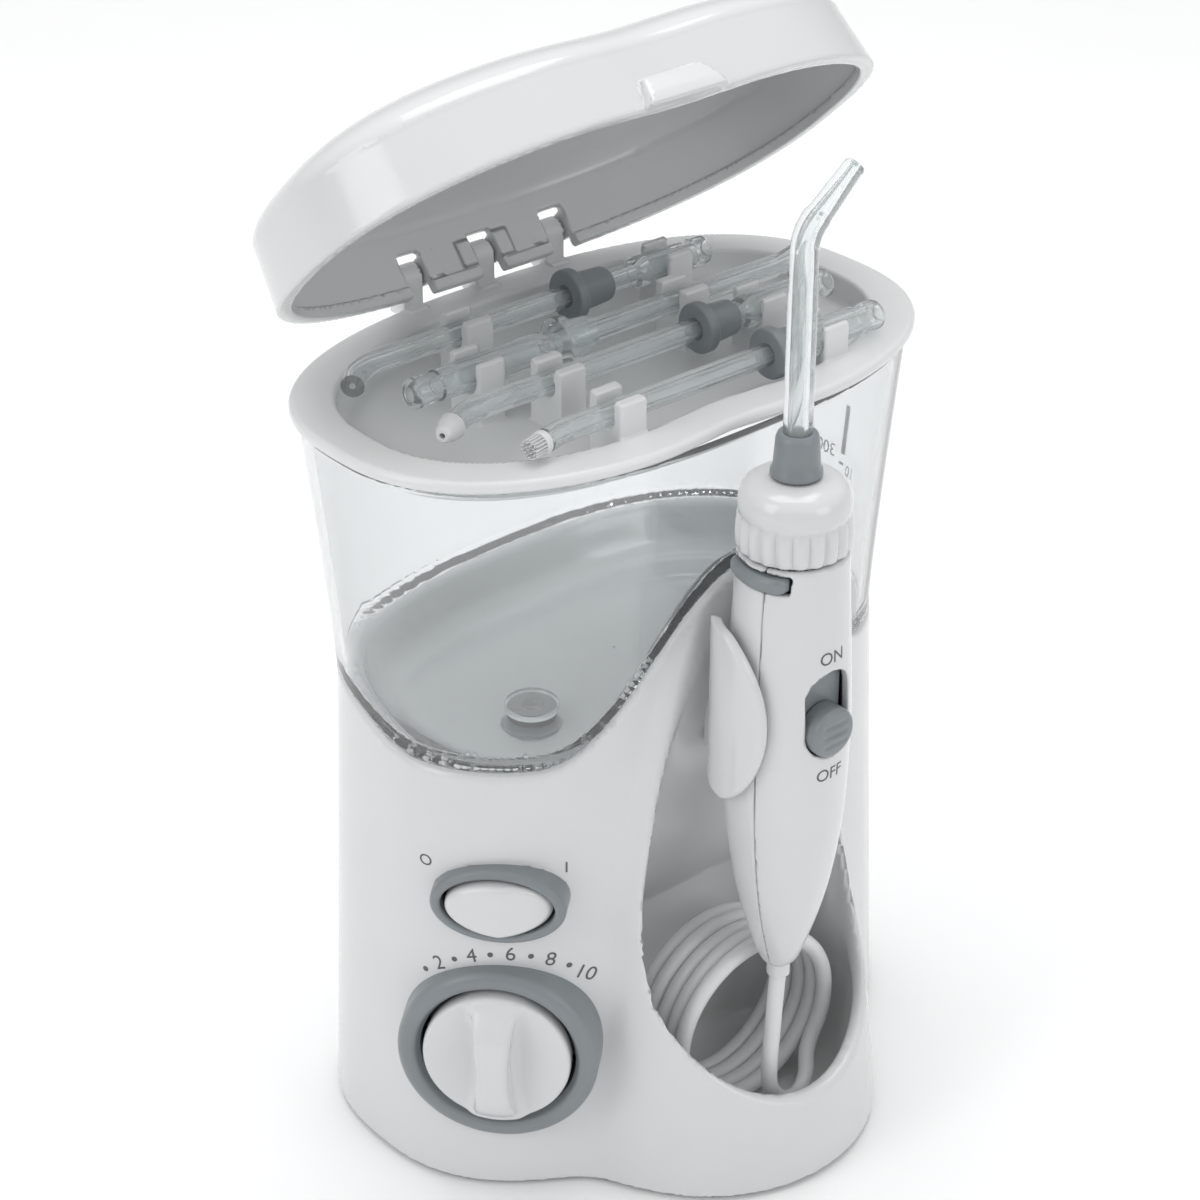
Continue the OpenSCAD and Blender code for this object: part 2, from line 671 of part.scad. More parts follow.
module lid_closed() difference() {
    union() {
        one_mesh() difference() {
            union() {
                lid_shell();
                // thumb tab at the front edge
                translate([-10, -rim_b + 0.4, lid_base + 1]) cube([20, 5, 5]);
                translate([-10, -rim_b + 0.4, lid_base]) cube([20, 2, 6]);
            }
            for (x = hinge_xs)
                translate([x - lug_w / 2 - 0.5, hinge_y - 7.2, lid_base - 2]) cube([lug_w + 1, 12, 11.5]);
        }
        lid_ears();
    }
    for (x = hinge_xs) along_x(x - 8, hinge_y, hinge_z) cylinder(r = hinge_pin_r + 0.02, h = 16);
}

module lid() color(shell_white) place()
    translate([0, hinge_y, hinge_z]) rotate([-lid_open, 0, 0]) translate([0, -hinge_y, -hinge_z]) lid_closed();

// Straight tapered rod between two points
module rod(a, b, r0, r1) {
    d = b - a;
    translate(a) rotate([0, acos(d[2] / norm(d)), atan2(d[1], d[0])]) cylinder(r1 = r0, r2 = r1, h = norm(d));
}

// Points of a tip's tube that lies along X and bends by an angle towards the front
function bend_point(x0, a, r) = [x0 - r * sin(a), -r * (1 - cos(a)), 0];
function bend_dir(a) = [-cos(a), -sin(a), 0];
function bend_path(x0, x1, a, r, e) = concat(
    [[x1, 0, 0], [x0, 0, 0]],
    [for (t = [0.25, 0.5, 0.75, 1]) bend_point(x0, a * t, r)],
    [bend_point(x0, a, r) + e * bend_dir(a)]);
module bent_tube(x0, x1, r, bend_a, bend_r, end_len)
    swept(bend_path(x0, x1, bend_a, bend_r, end_len), r, 12);
module stored(k) translate([0, tip_rows[k], tip_z]) children();
module turned(x0, x1, r0, r1, bore = 0) rotate([0, 90, 0]) translate([0, 0, x0]) difference() {
    cylinder(r1 = r0, r2 = r1, h = x1 - x0);
    if (bore > 0) translate([0, 0, -1]) cylinder(r = bore, h = x1 - x0 + 2);
}

module tip_a_tube() color(clear_tone, 0.6) place() stored(0) union() {
    bent_tube(-44, 24, tube_r, 46, 12, 4);
    turned(22, 43, 3.5, 3.2);
}
module tip_a_collar() color(part_grey) place() stored(0) union() {
    turned(4, 6.5, 5.6, 5.6, tube_r + 0.02);
    turned(6.5, 15, 4.2, 3.6, tube_r + 0.02);
}
module tip_b_tube() color(clear_tone, 0.6) place() stored(1) union() {
    turned(-14.5, 50, tube_r, tube_r);
    turned(-49, -14, 3.2, 3.5);
    turned(49.5, 56, tube_r, 3.4);
}
module tip_b_collar() color(clear_tone) place() stored(1) union() {
    turned(-12, -9.5, 5.4, 5.4, tube_r + 0.02);
    turned(-9.5, -3, 4, 3.4, tube_r + 0.02);
}
module tip_c_tube() color(clear_tone, 0.6) place() stored(2) union() {
    bent_tube(-42, 28, tube_r, 28, 12, 3);
    turned(26, 51, 3.5, 3.2);
}
module tip_c_collar() color(part_grey) place() stored(2) union() {
    turned(14, 16.5, 5.4, 5.4, tube_r + 0.02);
    turned(16.5, 24, 4.2, 3.6, tube_r + 0.02);
}
// White cone on the bent end
module tip_c_nozzle() color(shell_white) place() stored(2)
    rod(bend_point(-42, 28, 12) + 3 * bend_dir(28), bend_point(-42, 28, 12) + 8 * bend_dir(28), 2.8, 1.6);
module tip_d_tube() color(clear_tone, 0.6) place() stored(3) union() {
    bent_tube(-34, 28, tube_r, 12, 20, 3);
    turned(26, 48, 3.5, 3.2);
}
module tip_d_collar() color(part_grey) place() stored(3) union() {
    turned(17, 19.5, 5.4, 5.4, tube_r + 0.02);
    turned(19.5, 25.5, 4.4, 3.6, tube_r + 0.02);
}
module tip_d_brush() color(shell_white) place() stored(3)
    rod(bend_point(-34, 12, 20) + 3 * bend_dir(12), bend_point(-34, 12, 20) + 8 * bend_dir(12), 2.4, 2.2);

// ---- Handset ---------------------------------------------------------------------------

module grip_axis() translate([0, grip_y, 0]) children();

// Half of the handset's shell, turned from its profile
module grip_half(start) {
    inner = [for (i = [len(grip_profile) - 1 : -1 : 1]) [grip_profile[i][0] - 1.8, grip_profile[i][1]]];
    rotate([0, 0, start]) rotate_extrude(angle = 180) polygon(concat(grip_profile, inner));
}

module slider_slot(g) translate([0, -8, slider_z + 4]) rotate([90, 0, 0]) linear_extrude(20) {
    square([8.6 + 2 * g, 10], center = true);
    for (s = [-5, 5]) translate([0, s]) circle(r = 4.3 + g);
}

module handset_front() color(shell_white) place() grip_axis() difference() {
    grip_half(180);
    slider_slot(0.3);
    eject_window();
    translate([-20, -0.04, 0]) cube([40, 1, 200]);
}

module eject_window() translate([-16, -7.8, eject_z - 0.4]) cube([10.5, 15.6, 4.1]);

module handset_back() color(shell_white) place() grip_axis() difference() {
    grip_half(0);
    eject_window();
}

module dial_collar() color(shell_white) place() grip_axis() translate([0, 0, collar_z]) difference() {
    union() {
        rotate_extrude() polygon([
            [0, 0], [collar_r - 0.9, 0], [collar_r - 0.9, 7], [collar_r - 0.2, 7.6], [collar_r - 0.4, 11],
            [collar_r - 1.4, 13.6], [collar_r - 3.4, 15], [4.4, collar_h], [0, collar_h]]);
        for (i = [0 : 15]) rotate(22.5 * i) translate([collar_r - 1.9, 0, 0.6]) cylinder(r = 1.9, h = 6.6, $fn = 24);
    }
    translate([0, 0, -1]) cylinder(r = tip_r + 0.06, h = 20);
    translate([0, 0, -1]) cylinder(r = 6, h = 4);
}

module eject_button() color(part_grey) place() grip_axis() translate([0, 0, eject_z]) difference() {
    intersection() {
        translate([-13, -7.3, 0]) cube([5.5, 14.6, 3.3]);
        cylinder(r = 12.6, h = 10, center = true);
    }
    cylinder(r = 8.6, h = 10, center = true);
}

// Spring that pushes the eject button out
module eject_spring() color(metal_tone) place() grip_axis() translate([-6.95, 0, eject_z + 1.6])
    rotate([0, 90, 0]) difference() {
        cylinder(r = 1.5, h = 1.2);
        translate([0, 0, -1]) cylinder(r = 0.9, h = 5);
    }

module pause_slider() color(part_grey) place() grip_axis() translate([0, 0, slider_z - 0.6]) difference() {
    rotate([90, 0, 0]) cylinder(r = 4.2, h = 14.4);
    rotate([90, 0, 0]) translate([0, 0, -1]) cylinder(r = 20, h = 10);
    for (z = [-1.6, 0, 1.6]) translate([-2.6, -15, z - 0.35]) cube([5.2, 1.2, 0.7]);
}

// Floor of the slot that the pause slider runs on
module slider_track() color(part_grey) place() grip_axis()
    translate([-5.4, -8.8, slider_z - 8]) cube([10.8, 1.2, 22]);

// Ring that carries the dial and grips the fitted tip
module swivel_ring() color(part_grey) place() grip_axis() translate([0, 0, 138]) difference() {
    cylinder(r = 5.6, h = 14.2);
    translate([0, 0, -1]) cylinder(r = tip_r + 0.05, h = 18);
}

module hose_boot() color(shell_white) place() grip_axis() translate([0, 0, 46]) difference() {
    cylinder(r = 2.5, h = 3);
    translate([0, 0, -1]) cylinder(r = 1, h = 6);
}

// Tube of the fitted tip: straight up, bent to the right, and a short tapered jet end
fitted_bend_z = 212;
fitted_bend_a = 50;
fitted_bend_r = 7;
function fitted_point(a) = [fitted_bend_r * (1 - cos(a)), 0, fitted_bend_z + fitted_bend_r * sin(a)];
fitted_dir = [sin(fitted_bend_a), 0, cos(fitted_bend_a)];
fitted_path = concat(
    [[0, 0, fitted_bend_z - 2]],
    [for (t = [0 : 10 : fitted_bend_a]) fitted_point(t)],
    [fitted_point(fitted_bend_a) + 4 * fitted_dir]);
module fitted_tip_tube() color(clear_tone, 0.6) place() grip_axis() union() {
    difference() {
        translate([0, 0, 140]) cylinder(r = tip_r, h = fitted_bend_z - 140);
        translate([0, 0, 139]) cylinder(r = 1.3, h = fitted_bend_z - 145);
    }
    swept(fitted_path, tip_r - 0.15, 12);
    rod(fitted_point(fitted_bend_a) + 3 * fitted_dir, fitted_point(fitted_bend_a) + 13 * fitted_dir, 2.6, 2.1);
}
module fitted_tip_skirt() color(part_grey) place() grip_axis() translate([0, 0, 165.3]) difference() {
    cylinder(r1 = 5.2, r2 = 4, h = 9);
    translate([0, 0, -1]) cylinder(r = tip_r, h = 12);
}

// ---- Hose --------------------------------------------------------------------------------

module hose_drop() color(shell_white) place() swept(drop_route, hose_d / 2);
module hose_coil() color(shell_white) place() along_y(0, coil_y0, coil_z)
    rotate_extrude() translate([coil_r - hose_d / 2, 0]) square([hose_d, coil_y1 - coil_y0]);
module hose_tail() color(shell_white) place() swept(tail_route, hose_d / 2);

base_housing();
bottom_plate();
feet();
base_screws();
power_gland();
holder_bracket();
holder_cradle();
knob_bezel();
knob();
regulator_body();
rocker_bezel();
rocker();
switch_body();
motor();
motor_bracket();
motor_pinion();
drive_gear();
gear_axle();
connecting_rod();
piston();
pump_body();
pump_head();
inlet_port();
inlet_tube();
outlet_tube();
hose_fitting();
circuit_board();
tank();
tank_valve();
valve_seal();
tray();
hinge_pins();
lid();
tip_a_tube();
tip_a_collar();
tip_b_tube();
tip_b_collar();
tip_c_tube();
tip_c_collar();
tip_c_nozzle();
tip_d_tube();
tip_d_collar();
tip_d_brush();
fitted_tip_tube();
fitted_tip_skirt();
handset_front();
handset_back();
dial_collar();
eject_button();
eject_spring();
pause_slider();
slider_track();
swivel_ring();
hose_boot();
hose_drop();
hose_coil();
hose_tail();
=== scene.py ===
# Looks of the countertop water flosser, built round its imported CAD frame. Shapes are worked
# out in millimetres about the middle of the tank and moved to the row frame when a mesh is made.
import math

import bpy
import numpy as np
from mathutils import Matrix, Vector


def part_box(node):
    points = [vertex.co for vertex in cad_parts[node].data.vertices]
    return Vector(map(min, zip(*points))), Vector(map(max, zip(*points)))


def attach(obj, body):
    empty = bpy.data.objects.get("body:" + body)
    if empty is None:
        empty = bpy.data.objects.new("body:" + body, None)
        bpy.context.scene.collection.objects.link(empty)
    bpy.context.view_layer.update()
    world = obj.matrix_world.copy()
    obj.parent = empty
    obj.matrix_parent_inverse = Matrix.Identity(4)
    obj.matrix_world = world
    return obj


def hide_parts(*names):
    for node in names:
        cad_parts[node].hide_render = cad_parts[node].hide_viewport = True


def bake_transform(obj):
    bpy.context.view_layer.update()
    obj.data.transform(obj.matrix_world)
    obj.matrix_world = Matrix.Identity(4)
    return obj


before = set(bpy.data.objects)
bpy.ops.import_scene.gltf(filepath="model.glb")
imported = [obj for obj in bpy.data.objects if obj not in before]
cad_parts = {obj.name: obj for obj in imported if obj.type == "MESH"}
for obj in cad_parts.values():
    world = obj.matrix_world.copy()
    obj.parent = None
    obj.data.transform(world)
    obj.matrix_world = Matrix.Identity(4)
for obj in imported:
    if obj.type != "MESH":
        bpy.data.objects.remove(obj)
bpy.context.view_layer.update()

MM = 0.001
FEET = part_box("feet")
TANK_Y = (FEET[0].y + FEET[1].y) / 2 / MM

# ---- Sizes shared with the part's source -----------------------------------------------------

TANK_TOP = 169.0
WAIST_Z = 107.0
LOBE_TOP = 139.0
BOWL_Z = 98.0
WALL = 2.6
TANK_WALL = 2.2
GRIP_Y = -55.5
HINGE_Y, HINGE_Z = 44.0, 178.0
LID_OPEN = 43.0
LID_BASE = 172.3
TIP_Z = 175.5
TIP_ROWS = (19.5, 3.0, -10.0, -28.2)
TUBE_R = 2.4
# A tip's wide end up to past its snap groove, as distance along and radius
GRIP_END = (0.3, 2.7), (0.9, 3.15), (4, 3.22), (4.4, 2.8), (6.4, 2.8), (6.8, 3.25)
VALVE_X, VALVE_Y = -30.0, -10.0
GLAND_X, GLAND_Z = 26.0, 16.0
FITTING_X, FITTING_Y, FITTING_Z = -19.0, -20.0, 21.0
MOUTH_BACK = -42.5
TAU = 2 * math.pi


def mix(a, b, t):
    return a + (b - a) * t


def unit(t):
    return np.clip(t, 0, 1)


def ease(t):
    return t * t * (3 - 2 * t)


def soft_max(a, b, k):
    return (a + b + np.sqrt((a - b) ** 2 + k * k)) / 2


def oval_radius(c, s, a, b):
    """Radius of a squared oval in the direction (c, s)."""
    return ((np.abs(c) / a) ** 2.5 + (np.abs(s) / b) ** 2.5) ** -0.4


def body_a(z):
    flare = unit((z - WAIST_Z) / (TANK_TOP - WAIST_Z)) ** 1.2
    return np.where(z < WAIST_Z, mix(66.5, 62.3, z / WAIST_Z), mix(62.3, 68.5, flare))


def body_b(z):
    flare = unit((z - WAIST_Z) / (TANK_TOP - WAIST_Z)) ** 1.2
    return np.where(z < WAIST_Z, mix(43, 39.3, z / WAIST_Z), mix(39.3, 42, flare))


def tank_radius(c, s, z):
    return oval_radius(c, s, body_a(z), body_b(z))


def lobe_y(z):
    return 70.5 - 30 * unit(z / LOBE_TOP) ** 1.675


def body_radius(c, s, z):
    """Outside of the base: the main oval softly joined to the front lobe."""
    t = unit(z / LOBE_TOP)
    size = mix(37, 23, t)
    centre = lobe_y(z) - size
    q = size ** 2 - centre ** 2 * (1 - s * s)
    lobe = np.where(q > 0, np.maximum(0, -centre * s + np.sqrt(np.maximum(q, 0))), 0)
    return soft_max(tank_radius(c, s, z), lobe, 0.5 + 7.5 * (1 - t))


def rim_height(c, s):
    """Height of the joint line between base and tank round the body."""
    r = oval_radius(c, s, 62.3, 39.3)
    x, y = r * c, r * s
    peak = 35 * (1 + np.cos(math.pi * np.minimum(1, np.abs(x) / 46))) / 2
    return 102.5 + 8 * ease(unit((y + 12) / 34)) + np.where(y < 0, peak, 0)


# ---- Solids as distance functions ------------------------------------------------------------

def meet(a, b, r):
    """Both a and b, with their edge rounded by r."""
    return np.minimum(-r, np.maximum(a, b)) + np.hypot(np.maximum(r + a, 0), np.maximum(r + b, 0))


def join(a, b, r):
    """a or b, with the corner between them filled by r."""
    return np.maximum(r, np.minimum(a, b)) - np.hypot(np.maximum(r - a, 0), np.maximum(r - b, 0))


def cut(a, b, r):
    """a without b, with the edge rounded by r."""
    return meet(a, -b, r)


def block(x, y, z, centre, half, r=0.3):
    """A box with edges rounded by r."""
    q = [np.abs(v - c) - h + r for v, c, h in zip((x, y, z), centre, half)]
    outside = np.sqrt(sum(np.maximum(v, 0) ** 2 for v in q))
    return outside + np.minimum(np.maximum(np.maximum(q[0], q[1]), q[2]), 0) - r


def oval(x, y, a, b, n=2.0):
    """Distance to a squared oval, first order."""
    u, v = np.abs(x) / a, np.abs(y) / b
    f = np.maximum(u ** n + v ** n, 1e-6) ** (1 / n)
    slope = np.hypot((u / f) ** (n - 1) / a, (v / f) ** (n - 1) / b)
    return (f - 1) / np.maximum(slope, 1e-3)


def slope_of(f, p, h=0.04):
    """Gradient of f at points p."""
    steps = np.eye(3) * h
    return np.stack([(f(*(p + d).T) - f(*(p - d).T)) / (2 * h) for d in steps], axis=1)


def skin(f, lo, hi, step):
    """Points, quads and normals of the surface where f is zero, inside the box lo to hi."""
    axes = [np.arange(a - 1.5 * step, b + 2.5 * step, step) for a, b in zip(lo, hi)]
    grid = np.meshgrid(*axes, indexing="ij")
    v = f(*grid)
    inside = v < 0
    strides = [v.shape[1] * v.shape[2], v.shape[2], 1]
    flat = v.ravel()
    cells, crossings, quads = [], [], []
    for a in range(3):
        low = tuple(slice(0, -1) if k == a else slice(None) for k in range(3))
        high = tuple(slice(1, None) if k == a else slice(None) for k in range(3))
        at = np.argwhere(inside[low] != inside[high])
        ids = at @ np.array(strides)
        point = at.astype(float)
        point[:, a] += flat[ids] / (flat[ids] - flat[ids + strides[a]])
        b, c = (a + 1) % 3, (a + 2) % 3
        round_edge = [ids - i * strides[b] - j * strides[c] for i, j in ((0, 0), (1, 0), (1, 1), (0, 1))]
        quad = np.stack(round_edge, axis=1)
        quads.append(np.where(flat[ids][:, None] < 0, quad, quad[:, ::-1]))
        cells += round_edge
        crossings += [point] * 4
    used, index = np.unique(np.concatenate(cells), return_inverse=True)
    crossings = np.concatenate(crossings)
    total = np.stack([np.bincount(index, crossings[:, k]) for k in range(3)], axis=1)
    p = total / np.bincount(index)[:, None]
    p = p * step + [ax[0] for ax in axes]
    for _ in range(3):
        g = slope_of(f, p)
        size = np.maximum((g * g).sum(1), 0.05)
        move = -(f(*p.T) / size)[:, None] * g
        far = np.linalg.norm(move, axis=1)[:, None]
        p = p + move * np.minimum(1, 0.5 * step / np.maximum(far, 1e-9))
    g = slope_of(f, p)
    normals = g / np.maximum(np.linalg.norm(g, axis=1), 1e-9)[:, None]
    return p, np.searchsorted(used, np.concatenate(quads)), normals


# ---- Tubes and turned shapes -----------------------------------------------------------------

def smooth_line(points, per=8):
    """A curve through the points, with per steps between each two."""
    p = np.array(points, float)
    p = np.vstack([2 * p[0] - p[1], p, 2 * p[-1] - p[-2]])
    t = np.linspace(0, 1, per, endpoint=False)[:, None]
    out = []
    for a, b, c, d in zip(p[:-3], p[1:-2], p[2:-1], p[3:]):
        out.append(0.5 * (2 * b + (c - a) * t + (2 * a - 5 * b + 4 * c - d) * t ** 2
                          + (3 * b - a - 3 * c + d) * t ** 3))
    return np.vstack(out + [p[-2:-1]])


def length_along(path):
    return np.concatenate([[0], np.cumsum(np.linalg.norm(np.diff(path, axis=0), axis=1))])


def resample(path, at):
    s = length_along(path)
    return np.stack([np.interp(at, s, path[:, k]) for k in range(3)], axis=1)


def rings_along(path, radii, sides):
    """Rings of the given radii round a path, without twist."""
    d = np.gradient(path, axis=0)
    d /= np.linalg.norm(d, axis=1)[:, None]
    u = np.cross(d[0], [0.0, 0.0, 1.0] if abs(d[0][2]) < 0.8 else [1.0, 0.0, 0.0])
    u /= np.linalg.norm(u)
    t = np.arange(sides) * TAU / sides
    rings = []
    for centre, along, r in zip(path, d, radii):
        u = u - along * (u @ along)
        u /= np.linalg.norm(u)
        w = np.cross(along, u)
        rings.append(centre + r * (np.cos(t)[:, None] * u + np.sin(t)[:, None] * w))
    return rings


def stitch(rings, closed):
    """Faces over rings of equal length: closed joins the last ring to the first, else both ends get a cap."""
    n, m = len(rings[0]), len(rings)
    faces = []
    for k in range(m if closed else m - 1):
        a, b = k * n, (k + 1) % m * n
        faces += [(a + i, a + (i + 1) % n, b + (i + 1) % n, b + i) for i in range(n)]
    if not closed:
        faces += [tuple(range(n))[::-1], tuple((m - 1) * n + i for i in range(n))]
    return np.vstack(rings), faces


def tube(path, profile, bore=None, sides=28, step=0.8):
    """A tube along a path. profile and bore are (distance along, radius) pairs."""
    path = np.array(path, float)
    end = length_along(path)[-1]
    knots = [p[0] for p in profile] + ([p[0] for p in bore] if bore else [])
    at = np.unique(np.round(np.concatenate([np.arange(0, end, step), [end], knots]), 4))
    at = at[at <= end + 1e-6]
    line = resample(path, at)
    outer = rings_along(line, np.interp(at, *np.transpose(profile)), sides)
    if not bore:
        return stitch(outer, False)
    inner = rings_along(line, np.interp(at, *np.transpose(bore)), sides)
    return stitch(outer + inner[::-1], True)


def turned(profile, origin, axis, sides=96):
    """A closed outline of (radius, height) points turned round an axis."""
    z = np.array(axis, float)
    x = np.cross(z, [0.0, 0.0, 1.0] if abs(z[2]) < 0.9 else [1.0, 0.0, 0.0])
    x /= np.linalg.norm(x)
    y = np.cross(z, x)
    t = np.arange(sides) * TAU / sides
    spokes = np.cos(t)[:, None] * x + np.sin(t)[:, None] * y
    return stitch([np.array(origin) + h * z + r * spokes for r, h in profile], True)


def arc(cx, cz, r, a0, a1, n=8):
    """Points of an arc in a profile, angles in degrees."""
    return [(cx + r * math.cos(t), cz + r * math.sin(t)) for t in np.radians(np.linspace(a0, a1, n))]


# ---- Materials -------------------------------------------------------------------------------

def material(name, colour, rough, tint=0.02, speck=260.0, grain=2400.0, bump=0.04, **shader):
    """Moulded or turned material: soft colour drift, uneven roughness and a fine grain."""
    m = bpy.data.materials.new(name)
    m.use_nodes = True
    tree = m.node_tree
    node, link = tree.nodes.new, tree.links.new
    main = tree.nodes["Principled BSDF"]
    where = node("ShaderNodeTexCoord")
    drift = node("ShaderNodeTexNoise")
    drift.inputs["Scale"].default_value = speck / 6
    drift.inputs["Detail"].default_value = 4
    link(where.outputs["Object"], drift.inputs["Vector"])
    ramp = node("ShaderNodeValToRGB")
    ramp.color_ramp.elements[0].position = 0.3
    ramp.color_ramp.elements[1].position = 0.7
    ramp.color_ramp.elements[0].color = (*[c * (1 - tint) for c in colour], 1)
    ramp.color_ramp.elements[1].color = (*[min(1, c * (1 + tint)) for c in colour], 1)
    link(drift.outputs["Fac"], ramp.inputs["Fac"])
    link(ramp.outputs["Color"], main.inputs["Base Color"])
    smear = node("ShaderNodeTexNoise")
    smear.inputs["Scale"].default_value = speck
    smear.inputs["Detail"].default_value = 3
    link(where.outputs["Object"], smear.inputs["Vector"])
    spread = node("ShaderNodeMapRange")
    spread.inputs["From Min"].default_value = 0.3
    spread.inputs["From Max"].default_value = 0.7
    spread.inputs["To Min"].default_value = rough[0]
    spread.inputs["To Max"].default_value = rough[1]
    link(smear.outputs["Fac"], spread.inputs["Value"])
    link(spread.outputs["Result"], main.inputs["Roughness"])
    fine = node("ShaderNodeTexNoise")
    fine.inputs["Scale"].default_value = grain
    fine.inputs["Detail"].default_value = 2
    link(where.outputs["Object"], fine.inputs["Vector"])
    relief = node("ShaderNodeBump")
    relief.inputs["Strength"].default_value = bump
    relief.inputs["Distance"].default_value = 0.0002
    link(fine.outputs["Fac"], relief.inputs["Height"])
    link(relief.outputs["Normal"], main.inputs["Normal"])
    for socket, value in shader.items():
        main.inputs[socket.replace("_", " ")].default_value = value
    return m


def let_lamps_through(m, tint):
    """Lamp light passes through a clear material, a little dimmed; its colour is also greyed towards grazing
    angles, which is painted shade on the clear edges.
    """
    tree = m.node_tree
    node, link = tree.nodes.new, tree.links.new
    out = tree.nodes["Material Output"]
    main = tree.nodes["Principled BSDF"]
    ray = node("ShaderNodeLightPath")
    clear = node("ShaderNodeBsdfTransparent")
    clear.inputs["Color"].default_value = (*tint, 1)
    # Painted shade: the base colour is mixed towards grey as the surface turns edge-on, darkening the clear
    # edges.
    edge = node("ShaderNodeLayerWeight")
    edge.inputs["Blend"].default_value = 0.25
    painted_edge_shade = node("ShaderNodeMix")
    painted_edge_shade.data_type = "RGBA"
    link(edge.outputs["Facing"], painted_edge_shade.inputs["Factor"])
    link(main.inputs["Base Color"].links[0].from_socket, painted_edge_shade.inputs["A"])
    painted_edge_shade.inputs["B"].default_value = (0.55, 0.57, 0.58, 1)
    link(painted_edge_shade.outputs["Result"], main.inputs["Base Color"])
    either = node("ShaderNodeMath")
    either.operation = "MAXIMUM"
    link(ray.outputs["Is Shadow Ray"], either.inputs[0])
    link(ray.outputs["Is Diffuse Ray"], either.inputs[1])
    blend = node("ShaderNodeMixShader")
    link(either.outputs[0], blend.inputs["Fac"])
    link(main.outputs[0], blend.inputs[1])
    link(clear.outputs[0], blend.inputs[2])
    link(blend.outputs[0], out.inputs["Surface"])
    return m


LOOKS = {
    "shell_white": material("shell_white", (0.66, 0.668, 0.672), (0.13, 0.22), 0.012, bump=0.03,
                            Coat_Weight=0.15, Coat_Roughness=0.06),
    "tray_white": material("tray_white", (0.72, 0.727, 0.73), (0.22, 0.26), 0.012, bump=0.05),
    "accent_grey": material("accent_grey", (0.215, 0.238, 0.25), (0.28, 0.4), 0.05, bump=0.10),
    "clear_plastic": let_lamps_through(
        material("clear_plastic", (0.94, 0.952, 0.956), (0.0, 0.025), 0.006, bump=0.006,
                 Transmission_Weight=0.95, IOR=1.46), (0.93, 0.94, 0.94)),
    "clear_tips": let_lamps_through(
        material("clear_tips", (0.94, 0.965, 0.965), (0.0, 0.03), 0.01, bump=0.003,
                 Transmission_Weight=0.9, IOR=1.49), (0.88, 0.9, 0.9)),
    "steel": material("steel", (0.6, 0.6, 0.62), (0.22, 0.4), 0.05, speck=900, bump=0.1, Metallic=1.0),
    "black_rubber": material("black_rubber", (0.04, 0.04, 0.042), (0.6, 0.8), 0.1, bump=0.3),
    "hose_white": material("hose_white", (0.70, 0.708, 0.712), (0.3, 0.42), 0.015, bump=0.06),
    "natural_plastic": material("natural_plastic", (0.78, 0.77, 0.71), (0.4, 0.55), 0.03, bump=0.1),
    "circuit_board": material("circuit_board", (0.07, 0.22, 0.1), (0.35, 0.5), 0.15, speck=1200, bump=0.2),
    "black_plastic": material("black_plastic", (0.035, 0.035, 0.036), (0.35, 0.5), 0.1, bump=0.1),
    "print_grey": material("print_grey", (0.10, 0.11, 0.115), (0.4, 0.5), 0.05, bump=0.05),
}


# ---- Making pieces ---------------------------------------------------------------------------

def piece(name, shape, look, body, nodes=(), sharp=38.0):
    """A shown mesh from points in millimetres about the tank's middle."""
    points, faces, *normals = shape
    mesh = bpy.data.meshes.new(name)
    where = (np.asarray(points, float) + [0, TANK_Y, 0]) * MM
    mesh.from_pydata(where.tolist(), [], np.asarray(faces).tolist() if normals else faces)
    mesh.update()
    mesh.polygons.foreach_set("use_smooth", [True] * len(mesh.polygons))
    if normals:
        mesh.normals_split_custom_set_from_vertices(normals[0].tolist())
    else:
        mesh.set_sharp_from_angle(angle=math.radians(sharp))
    mesh.materials.append(LOOKS[look])
    obj = bpy.data.objects.new(name, mesh)
    bpy.context.scene.collection.objects.link(obj)
    if body:
        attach(obj, body)
    if nodes:
        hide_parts(*nodes)
    return obj


def turn(shape, rotation, about=(0, 0, 0), to=None):
    """The shape turned by a 3 x 3 matrix about a point, and moved so that the point lies at to."""
    points, faces, *normals = shape
    m = np.array(rotation)
    target = about if to is None else to
    moved = (np.asarray(points) - about) @ m.T + target
    return (moved, faces, *[n @ m.T for n in normals])


# ---- Camera, light and floor -----------------------------------------------------------------

scene = bpy.context.scene
camera = bpy.data.objects.new("camera", bpy.data.cameras.new("camera"))
scene.collection.objects.link(camera)
camera.location = (-0.3589, -0.4129, 0.4334)
camera.rotation_euler = (math.radians(60), 0, math.radians(-40))
camera.data.lens = 90
camera.data.sensor_width = 36
scene.camera = camera

world = bpy.data.worlds.new("studio")
world.use_nodes = True
sky = world.node_tree.nodes["Background"]
way = world.node_tree.nodes.new("ShaderNodeTexCoord")
split = world.node_tree.nodes.new("ShaderNodeSeparateXYZ")
bands = world.node_tree.nodes.new("ShaderNodeValToRGB")
world.node_tree.links.new(way.outputs["Generated"], split.inputs["Vector"])
world.node_tree.links.new(split.outputs["Z"], bands.inputs["Fac"])
world.node_tree.links.new(bands.outputs["Color"], sky.inputs["Color"])
bands.color_ramp.elements[0].color = (0.5, 0.51, 0.52, 1)
bands.color_ramp.elements[1].color = (1.0, 1.0, 1.0, 1)
bands.color_ramp.elements[0].position = 0.22
bands.color_ramp.elements[1].position = 0.62
sky.inputs["Strength"].default_value = 0.80
scene.world = world
scene.view_settings.view_transform = "Standard"


def softbox(name, place, size, power):
    """A square area lamp that looks at the tank."""
    lamp = bpy.data.lights.new(name, "AREA")
    lamp.shape = "RECTANGLE"
    lamp.size, lamp.size_y = size
    lamp.energy = power
    obj = bpy.data.objects.new(name, lamp)
    scene.collection.objects.link(obj)
    obj.location = place
    obj.rotation_euler = (Vector((0, 0, 0.1)) - Vector(place)).to_track_quat("-Z", "Y").to_euler()
    return obj


